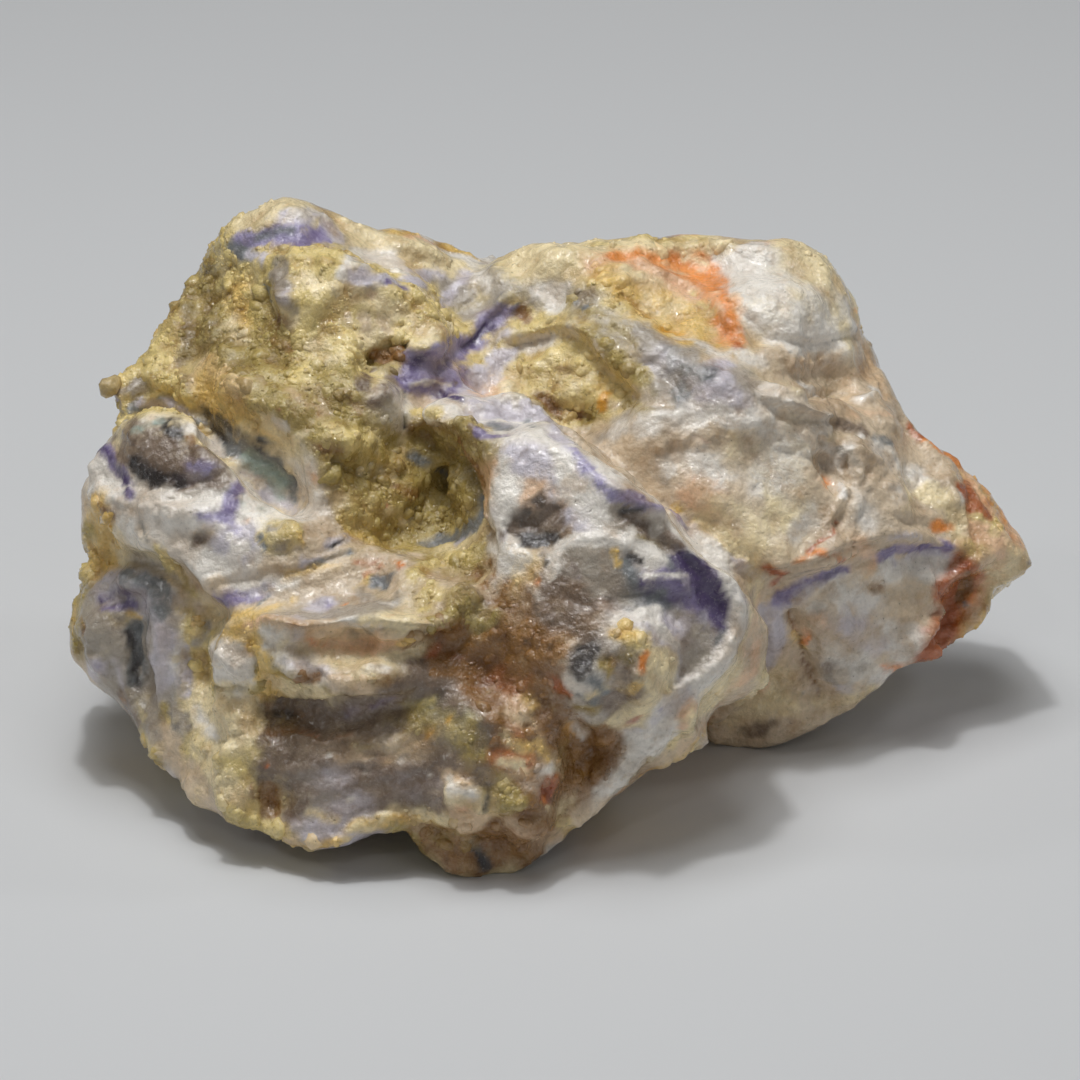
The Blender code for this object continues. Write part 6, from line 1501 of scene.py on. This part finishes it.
def trace(tree, path):
    """Places on the skin along a path as the eye sees it, closely spaced, in millimetres."""
    found = []
    corners = path if len(path) > 1 else path * 2
    for (a0, u0), (a1, u1) in zip(corners[:-1], corners[1:]):
        steps = max(1, math.ceil(math.hypot(a1 - a0, u1 - u0) / STEP_MM))
        for step in range(steps + 1):
            share = step / steps
            aim = Vector(place(a0 + (a1 - a0) * share, u0 + (u1 - u0) * share) * MM)
            hit = tree.ray_cast(EYE_POINT, (aim - EYE_POINT).normalized())[0]
            if hit is not None:
                found.append(hit / MM)
    return np.array(found)


def near_trail(points, trail, reach):
    """Indexes of the points within reach of a trail's box."""
    low, high = trail.min(axis=0) - reach, trail.max(axis=0) + reach
    return np.flatnonzero(((points > low) & (points < high)).all(axis=1))


def gaps_to(points, trail):
    """Each point's distance to a trail, and the index of the place it is nearest to."""
    gaps = np.linalg.norm(points[:, None, :] - trail[None, :, :], axis=2)
    return gaps.min(axis=1), gaps.argmin(axis=1)


def side_of(points, trail, nearest, heading):
    """How far each point lies to the left of a trail, in millimetres, seen with the heading towards one."""
    along = np.gradient(trail, axis=0)[nearest]
    left = np.cross(heading, along)
    left /= np.maximum(np.linalg.norm(left, axis=1), 1e-9)[:, None]
    return ((points - trail[nearest]) * left).sum(axis=1)


def work_forms(mesh, tree):
    """Works the small forms into the skin, each raised or sunk along its path."""
    points, normals, before = points_of(mesh), normals_of(mesh), points_of(mesh)
    wander = wander_of(points, *FORM_WANDER)
    for kind, path, half_width, height in rows_of(FORMS):
        trail = trace(tree, path)
        if not len(trail):
            continue
        reach_mm = half_width * (LEDGE_REACH if kind == "ledge" else 1.0)
        moved = points + wander * (0.5 * half_width)
        near = near_trail(moved, trail, reach_mm)
        gaps, nearest = gaps_to(moved[near], trail)
        reach = np.clip(1.0 - (gaps / reach_mm) ** 2, 0.0, 1.0) ** 2
        heading = (normals[near] * reach[:, None]).sum(axis=0)
        heading /= max(np.linalg.norm(heading), 1e-9)
        amount = height * reach
        if kind == "ledge":
            side = side_of(points[near], trail, nearest, heading) / half_width
            amount = amount * np.clip(side * 4.0, -1.0, 1.0)
        facing = np.clip((normals[near] @ heading) * 2.0 + 0.6, 0.0, 1.0)
        points[near] += heading * (amount * facing)[:, None]
    keep_flats(points, before)
    set_points(mesh, points)


def cover(weights, chosen, tint, amount):
    """Lays a tint over the chosen points, where 1 hides all that is under it."""
    weights[chosen] *= 1.0 - amount[:, None]
    weights[chosen, TINT_NAMES.index(tint)] += amount


def lay_ground(weights, points, normals):
    """Patches of ground everywhere, and bands through them on the far side."""
    for tint, size, seed, share in GROUND:
        weights[:, TINT_NAMES.index(tint)] = np.exp(GROUND_CRISP * (lumps(points, size, seed) + share))
    weights /= weights.sum(axis=1)[:, None]
    away = np.clip(0.4 - 2.5 * toward_eye(points, normals), 0.0, 1.0)
    for tint, size, seed, half, strength in BANDS:
        line = np.abs(lumps(points, size, seed) + 0.3 * lumps(points, size / 4, seed + 1)
                      + 0.15 * lumps(points, size / 12, seed + 4))
        broken = np.clip(2.0 * lumps(points, size * 0.6, seed + 2) + 0.3, 0.0, 1.0)
        cover(weights, slice(None), tint, np.clip(1.5 - line / half, 0.0, 1.0) * strength * away * broken)


def lay_markings(weights, points, tree):
    """Each marking in turn, with an uneven edge, and worn thin in places where it is narrow."""
    wander = wander_of(points, *MARKING_WANDER)
    patches = lumps(points, WORN_MM, WORN_SEED)
    for tint, path, half_width, strength in rows_of(MARKINGS):
        trail = trace(tree, path)
        if len(trail):
            near = near_trail(points, trail, half_width * MARKING_REACH)
            moved = points[near] + wander[near] * (0.45 * min(half_width, 2.5) + 0.1)
            gaps, _ = gaps_to(moved, trail)
            worn = 1.0 + np.clip(2.4 * patches[near] + 0.1, -0.55, 0.0) * min(1.0, 1.2 / half_width)
            full = np.clip((half_width - gaps) / (1.3 * half_width) + 0.45, 0.0, 1.0)
            cover(weights, near, tint, strength * full * worn)


def share_of(weights, column):
    """How granular or how glassy each point is, by the tints that show there."""
    return weights @ np.array([TINTS[tint][column] for tint in TINT_NAMES])


def roughen(mesh, weights):
    """Works the relief into the skin: lumps of crust where it is granular, soft swells where opal shows."""
    points, normals = points_of(mesh), normals_of(mesh)
    grain = share_of(weights, GRAIN)
    calm = 1.0 - 0.75 * share_of(weights, GLASS)
    lift = np.zeros(len(points))
    for height, size, seed in SWELLS:
        lift += height * calm * lumps(points, size, seed)
    wander = np.stack([lumps(points, RELIEF_WANDER_MM, seed) for seed in RELIEF_WANDER_SEEDS], 1)
    for height, size, seed, stray, level in LUMPS:
        near, _ = cells(points + wander * stray, size, seed)
        lift += grain * height * (level - near)
    height, size, seed, stray, flat, level = PLATES
    _, edge = cells(points + wander * stray, size, seed)
    lift += (1.0 - grain) * calm * height * (np.minimum(edge, flat) - level)
    lift *= np.clip(points[:, 2] / RELIEF_FADE_MM, 0.0, 1.0)
    moved = points + normals * lift[:, None]
    keep_flats(moved, points)
    set_points(mesh, moved)
    return lift


def blends(weights):
    """Two colours at each point: nearly that of its strongest tint, and one with more of the others in it."""
    palette = np.array([linear(TINTS[tint][0]) for tint in TINT_NAMES])
    found = []
    for crispness in (MAIN_CRISP, MIXED_CRISP):
        shares = np.maximum(weights, 0.0) ** crispness
        found.append(shares @ palette / np.maximum(shares.sum(axis=1), 1e-9)[:, None])
    return found


def give_masks(mesh, weights, repeat, shade_and_dirt):
    """Puts the tints and masks on the mesh for its material, each value for so many points in a row."""
    for name, values in zip(("main tint", "mixed tint"), blends(weights)):
        values = np.repeat(values, repeat, axis=0).astype(np.float32)
        mesh.attributes.new(name, "FLOAT_VECTOR", "POINT").data.foreach_set("vector", values.ravel())
    masks = {"grain": share_of(weights, GRAIN), "glass": share_of(weights, GLASS), "shade_and_dirt": shade_and_dirt}
    for name, values in masks.items():
        values = np.repeat(values, repeat).astype(np.float32)
        mesh.attributes.new(name, "FLOAT", "POINT").data.foreach_set("value", values)


def crumb_shape(rounds):
    """A closed blob of unit size: its points and its triangles."""
    build = bmesh.new()
    bmesh.ops.create_icosphere(build, subdivisions=rounds, radius=1.0)
    points = np.array([vertex.co for vertex in build.verts])
    faces = np.array([[vertex.index for vertex in face.verts] for face in build.faces])
    build.free()
    return points, faces


def chance_of_crumbs(points, normals, grain):
    """How likely a crumb is at each point: only on granular crust, in drifts, and not near the ground."""
    area = np.where(toward_eye(points, normals) > 0.0, 1.0, 4.0)  # the far side has larger cells
    chance = area * np.clip(grain - 0.35, 0.0, 1.0) ** 1.5 * (points[:, 2] > CRUMBS_FROM_MM)
    chance *= 0.15 + np.clip(lumps(points, DRIFT_MM, DRIFT_SEED) + 0.4, 0.0, 1.0)
    return chance / chance.sum()


def scatter_crumbs(name, skin, weights, rounds, count, sizes, sunk, seed):
    """Crumbs of crust sunk in the skin where it is granular, joined in one mesh."""
    rng = np.random.default_rng(seed)
    points, normals = points_of(skin), normals_of(skin)
    chance = chance_of_crumbs(points, normals, share_of(weights, GRAIN))
    chosen = rng.choice(len(points), count, replace=False, p=chance)
    shape, faces = crumb_shape(rounds)
    low, high = sizes
    size = (low + (high - low) * rng.random(count) ** 2.5)[:, None, None]
    size = size * rng.uniform(0.6, 1.3, (count, 1, 3))
    knock = 1.0 + 0.35 * (rng.random((count, len(shape), 1)) - 0.5)
    turn = np.linalg.qr(rng.normal(size=(count, 3, 3)))[0]
    turn *= np.sign(np.linalg.det(turn))[:, None, None]
    bodies = np.einsum("nij,nkj->nki", turn, shape[None] * size * knock)
    bodies += (points[chosen] - normals[chosen] * size.mean(axis=2) * sunk)[:, None, :]
    mesh = bpy.data.meshes.new(name)
    all_faces = (faces[None] + (np.arange(count) * len(shape))[:, None, None]).reshape(-1, 3)
    mesh.from_pydata((bodies.reshape(-1, 3) * MM).tolist(), [], all_faces.tolist())
    # each crumb gets a random value in the shade and dirt mask, which makes some crumbs darker and others
    # lighter at random
    give_masks(mesh, weights[chosen], len(shape), rng.uniform(-0.7, 0.35, count))
    return mesh


def linear(colour):
    """A (red, green, blue) out of 255 as the shader's own numbers."""
    parts = [part / 255 for part in colour]
    return tuple(part / 12.92 if part <= 0.04045 else ((part + 0.055) / 1.055) ** 2.4 for part in parts)


class Sheet:
    """A node tree with short ways to add and join nodes."""

    def __init__(self, tree):
        self.tree = tree

    def node(self, kind, inputs=(), **settings):
        made = self.tree.nodes.new(kind)
        for name, value in settings.items():
            setattr(made, name, value)
        for key, value in dict(inputs).items():
            if isinstance(value, bpy.types.NodeSocket):
                self.tree.links.new(value, made.inputs[key])
            else:
                made.inputs[key].default_value = value
        return made

    def math(self, operation, first, second, clamp=False):
        inputs = {0: first, 1: second}
        return self.node("ShaderNodeMath", inputs, operation=operation, use_clamp=clamp).outputs[0]

    def line(self, value, gain, base, clamp=False):
        """value x gain + base"""
        inputs = {0: value, 1: gain, 2: base}
        return self.node("ShaderNodeMath", inputs, operation="MULTIPLY_ADD", use_clamp=clamp).outputs[0]

    def times(self, first, second, clamp=False):
        return self.math("MULTIPLY", first, second, clamp)

    def scale(self, colour, value):
        return self.node("ShaderNodeVectorMath", {0: colour, "Scale": value}, operation="SCALE").outputs[0]

    def mix(self, share, first, second, blend="MIX"):
        inputs = {0: share, 6: first, 7: second}
        return self.node("ShaderNodeMix", inputs, data_type="RGBA", blend_type=blend).outputs[2]

    def noise(self, size_mm, detail, rough, warp=0.0):
        """Noise over the stone, 0 to 1, with lumps of this size."""
        where = self.node("ShaderNodeTexCoord").outputs["Object"]
        inputs = {"Vector": where, "Scale": 1.0 / (size_mm * MM), "Detail": detail, "Roughness": rough,
                  "Distortion": warp}
        return self.node("ShaderNodeTexNoise", inputs).outputs["Fac"]


def new_group(name, inputs, outputs):
    """A shader node group: its sheet, and what it is given and gives back as seen from inside."""
    group = bpy.data.node_groups.new(name, "ShaderNodeTree")
    for socket, kind, value in inputs:
        made = group.interface.new_socket(socket, in_out="INPUT", socket_type=kind)
        made.default_value = value
    for socket, kind in outputs:
        group.interface.new_socket(socket, in_out="OUTPUT", socket_type=kind)
    sheet = Sheet(group)
    return sheet, sheet.node("NodeGroupInput").outputs, sheet.node("NodeGroupOutput").inputs


def tints_group():
    """A main tint that gives way to a mixed one in ragged patches."""
    grey = (0.5, 0.5, 0.5, 1.0)
    sheet, given, result = new_group(
        "Opal tints",
        [("Main", "NodeSocketColor", grey), ("Mixed", "NodeSocketColor", grey),
         ("Mottle", "NodeSocketFloat", 5.0)],
        [("Colour", "NodeSocketColor")],
    )
    ragged = sheet.math("SUBTRACT", sheet.noise(RAGGED_MM, 5.0, 0.68, 0.6), 0.5)
    lean = sheet.line(ragged, given["Mottle"], 0.4, clamp=True)
    sheet.tree.links.new(sheet.mix(lean, given["Main"], given["Mixed"]), result["Colour"])
    return sheet.tree


def weather_group():
    """Stains, specks, pale grains and milky flecks over a colour, dirt and painted shade in its hollows,
    painted light on its rises, and a fine relief.
    """
    sheet, given, result = new_group(
        "Opal weathering",
        [("Colour", "NodeSocketColor", (0.5, 0.5, 0.5, 1.0)), ("Grain", "NodeSocketFloat", 0.5),
         ("Glass", "NodeSocketFloat", 0.5), ("Shade_and_dirt", "NodeSocketFloat", 0.0)],
        [("Colour", "NodeSocketColor"), ("Height", "NodeSocketFloat"), ("Roughness", "NodeSocketFloat")],
    )
    grain, glass, shade_and_dirt = given["Grain"], given["Glass"], given["Shade_and_dirt"]
    broad = sheet.math("SUBTRACT", sheet.noise(BROAD_MM, 5.0, 0.65), 0.5)
    fine = sheet.math("SUBTRACT", sheet.noise(FINE_MM, 3.0, 0.7), 0.5)
    ripple = sheet.noise(RIPPLE_MM, 1.0, 0.5)

    value = sheet.line(broad, sheet.line(grain, 0.5, 0.6), 1.04)
    value = sheet.line(fine, sheet.line(grain, 0.3, 0.5), value)
    # painted shade and light: darker where the relief sinks, lighter where it rises
    value = sheet.line(shade_and_dirt, -0.3, value)
    colour = sheet.scale(given["Colour"], value)

    stain_and_shade = sheet.times(sheet.line(broad, -4.0, -0.15, clamp=True), sheet.line(glass, -0.45, 0.75))
    # the stain gathers in the hollows: partly dirt, partly painted shade
    stain_and_shade = sheet.line(sheet.math("MAXIMUM", shade_and_dirt, 0.0), 0.7, stain_and_shade, clamp=True)
    colour = sheet.mix(stain_and_shade, colour, STAIN_AND_SHADE, blend="MULTIPLY")
    bleach = sheet.times(sheet.line(broad, 5.0, -0.2, clamp=True), grain)
    colour = sheet.mix(sheet.times(bleach, 0.5), colour, BLEACHED)
    milk = sheet.times(sheet.math("SUBTRACT", fine, 0.07), 9.0, clamp=True)
    colour = sheet.mix(sheet.times(milk, sheet.times(glass, 0.3)), colour, MILK, blend="LIGHTEN")
    speck = sheet.times(sheet.line(fine, -1.0, -0.17), 14.0, clamp=True)
    colour = sheet.mix(sheet.times(speck, 0.5), colour, SPECK)

    height = sheet.line(fine, sheet.line(grain, 0.4, 0.5), ripple)
    rough = sheet.math("MAXIMUM", sheet.line(broad, 0.4, sheet.line(glass, -0.04, 0.13)), 0.06)
    for socket, value in (("Colour", colour), ("Height", height), ("Roughness", rough)):
        sheet.tree.links.new(value, result[socket])
    return sheet.tree


def wet_mineral(name, tints, weather, mottle, bump):
    """A wet mineral surface: tinted, weathered and under a thin film of water."""
    material = bpy.data.materials.new(name)
    material.use_nodes = True
    sheet = Sheet(material.node_tree)
    surface = material.node_tree.nodes["Principled BSDF"]
    tinted = sheet.node("ShaderNodeGroup", node_tree=tints)
    tinted.inputs["Mottle"].default_value = mottle
    for socket in ("Main", "Mixed"):
        tint = sheet.node("ShaderNodeAttribute", attribute_name=f"{socket.lower()} tint").outputs["Color"]
        sheet.tree.links.new(tint, tinted.inputs[socket])
    worn = sheet.node("ShaderNodeGroup", node_tree=weather)
    sheet.tree.links.new(tinted.outputs["Colour"], worn.inputs["Colour"])
    for socket in ("Grain", "Glass", "Shade_and_dirt"):
        mask = sheet.node("ShaderNodeAttribute", attribute_name=socket.lower()).outputs["Fac"]
        sheet.tree.links.new(mask, worn.inputs[socket])
    bumps = {"Strength": bump, "Distance": RELIEF_MM * MM, "Height": worn.outputs["Height"]}
    sheet.tree.links.new(worn.outputs["Colour"], surface.inputs["Base Color"])
    sheet.tree.links.new(worn.outputs["Roughness"], surface.inputs["Roughness"])
    sheet.tree.links.new(sheet.node("ShaderNodeBump", bumps).outputs["Normal"], surface.inputs["Normal"])
    for socket, value in WET_FILM.items():
        surface.inputs[socket].default_value = value
    return material


def plain(name, colour, roughness):
    """A material of one even colour."""
    material = bpy.data.materials.new(name)
    material.use_nodes = True
    surface = material.node_tree.nodes["Principled BSDF"]
    surface.inputs["Base Color"].default_value = (*linear(colour), 1.0)
    surface.inputs["Roughness"].default_value = roughness
    return material


def add_piece(name, mesh, material, replaces=None):
    """A visible piece of the stone, which stands in for a node of the solid where one is named."""
    piece = bpy.data.objects.new(name, mesh)
    bpy.context.scene.collection.objects.link(piece)
    mesh.materials.append(material)
    mesh.shade_smooth()
    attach(piece, "root")
    if replaces:
        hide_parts(replaces)


def add_floor():
    """A plain pale floor that sweeps up far behind the stone; sizes in metres."""
    near, far, height, radius, wide = -1.2, 1.6, 1.2, 0.5, 2.5
    profile = [(near, 0.0), (far - radius, 0.0)]
    profile += [(far - radius + radius * math.sin(turn), radius - radius * math.cos(turn))
                for turn in np.linspace(0.0, math.pi / 2, 16)[1:]]
    profile.append((far, height))
    build = bmesh.new()
    rows = [[build.verts.new((side * wide, y, z)) for y, z in profile] for side in (-1.0, 1.0)]
    for step in range(len(profile) - 1):
        build.faces.new((rows[0][step], rows[1][step], rows[1][step + 1], rows[0][step + 1]))
    mesh = bpy.data.meshes.new("floor")
    build.to_mesh(mesh)
    build.free()
    floor = bpy.data.objects.new("floor", mesh)
    bpy.context.scene.collection.objects.link(floor)
    mesh.materials.append(plain("pale floor", colour=(214, 216, 218), roughness=0.7))
    mesh.shade_smooth()


def light_scene():
    """A dim warm room and the soft lamps."""
    world = bpy.data.worlds.new("studio")
    bpy.context.scene.world = world
    world.use_nodes = True
    background = world.node_tree.nodes["Background"]
    background.inputs["Color"].default_value = AMBIENT
    background.inputs["Strength"].default_value = AMBIENT_STRENGTH
    for name, spot, size, power in LAMPS:
        lamp = bpy.data.lights.new(name, "AREA")
        lamp.size, lamp.energy = size, power
        holder = bpy.data.objects.new(name, lamp)
        bpy.context.scene.collection.objects.link(holder)
        holder.location = spot
        aim = Vector(ORIGIN_MM * MM) - Vector(spot)
        holder.rotation_euler = aim.to_track_quat("-Z", "Y").to_euler()


def add_camera():
    """A camera at the eye, which takes in FRAME_MM across the display plane."""
    camera = bpy.data.cameras.new("camera")
    holder = bpy.data.objects.new("camera", camera)
    bpy.context.scene.collection.objects.link(holder)
    camera.sensor_width = 36.0
    camera.lens = camera.sensor_width * EYE_MM / FRAME_MM
    camera.clip_start = 0.01
    holder.location = EYE_POINT
    holder.rotation_euler = Vector(-OUT).to_track_quat("-Z", "Y").to_euler()
    bpy.context.scene.camera = holder


def dress_stone():
    """The skin with its forms, tints and relief, in place of the solid, and the crumbs on it."""
    skin = make_skin(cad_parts["stone"])
    work_forms(skin, tree_of(skin))
    points, normals, tree = points_of(skin), normals_of(skin), tree_of(skin)
    weights = np.zeros((len(points), len(TINT_NAMES)))
    lay_ground(weights, points, normals)
    lay_markings(weights, points, tree)
    lift = roughen(skin, weights)
    # how deep each place lies in the relief: dirt and painted shade in the hollows, painted light on the
    # rises
    give_masks(skin, weights, 1, np.clip(-lift / SHADE_AND_DIRT_MM, -1.0, 1.0))
    tints, weather = tints_group(), weather_group()
    opal = wet_mineral("wet opal", tints, weather, mottle=5.0, bump=0.9)
    crust = wet_mineral("wet crust crumbs", tints, weather, mottle=3.0, bump=0.8)
    add_piece("opal_stone", skin, opal, replaces="stone")
    for name, rounds, count, sizes, sunk, seed in CRUMBS:
        add_piece(name, scatter_crumbs(name, skin, weights, rounds, count, sizes, sunk, seed), crust)


def main():
    add_camera()
    dress_stone()
    add_floor()
    light_scene()
    bpy.context.scene.view_settings.view_transform = "Standard"


main()
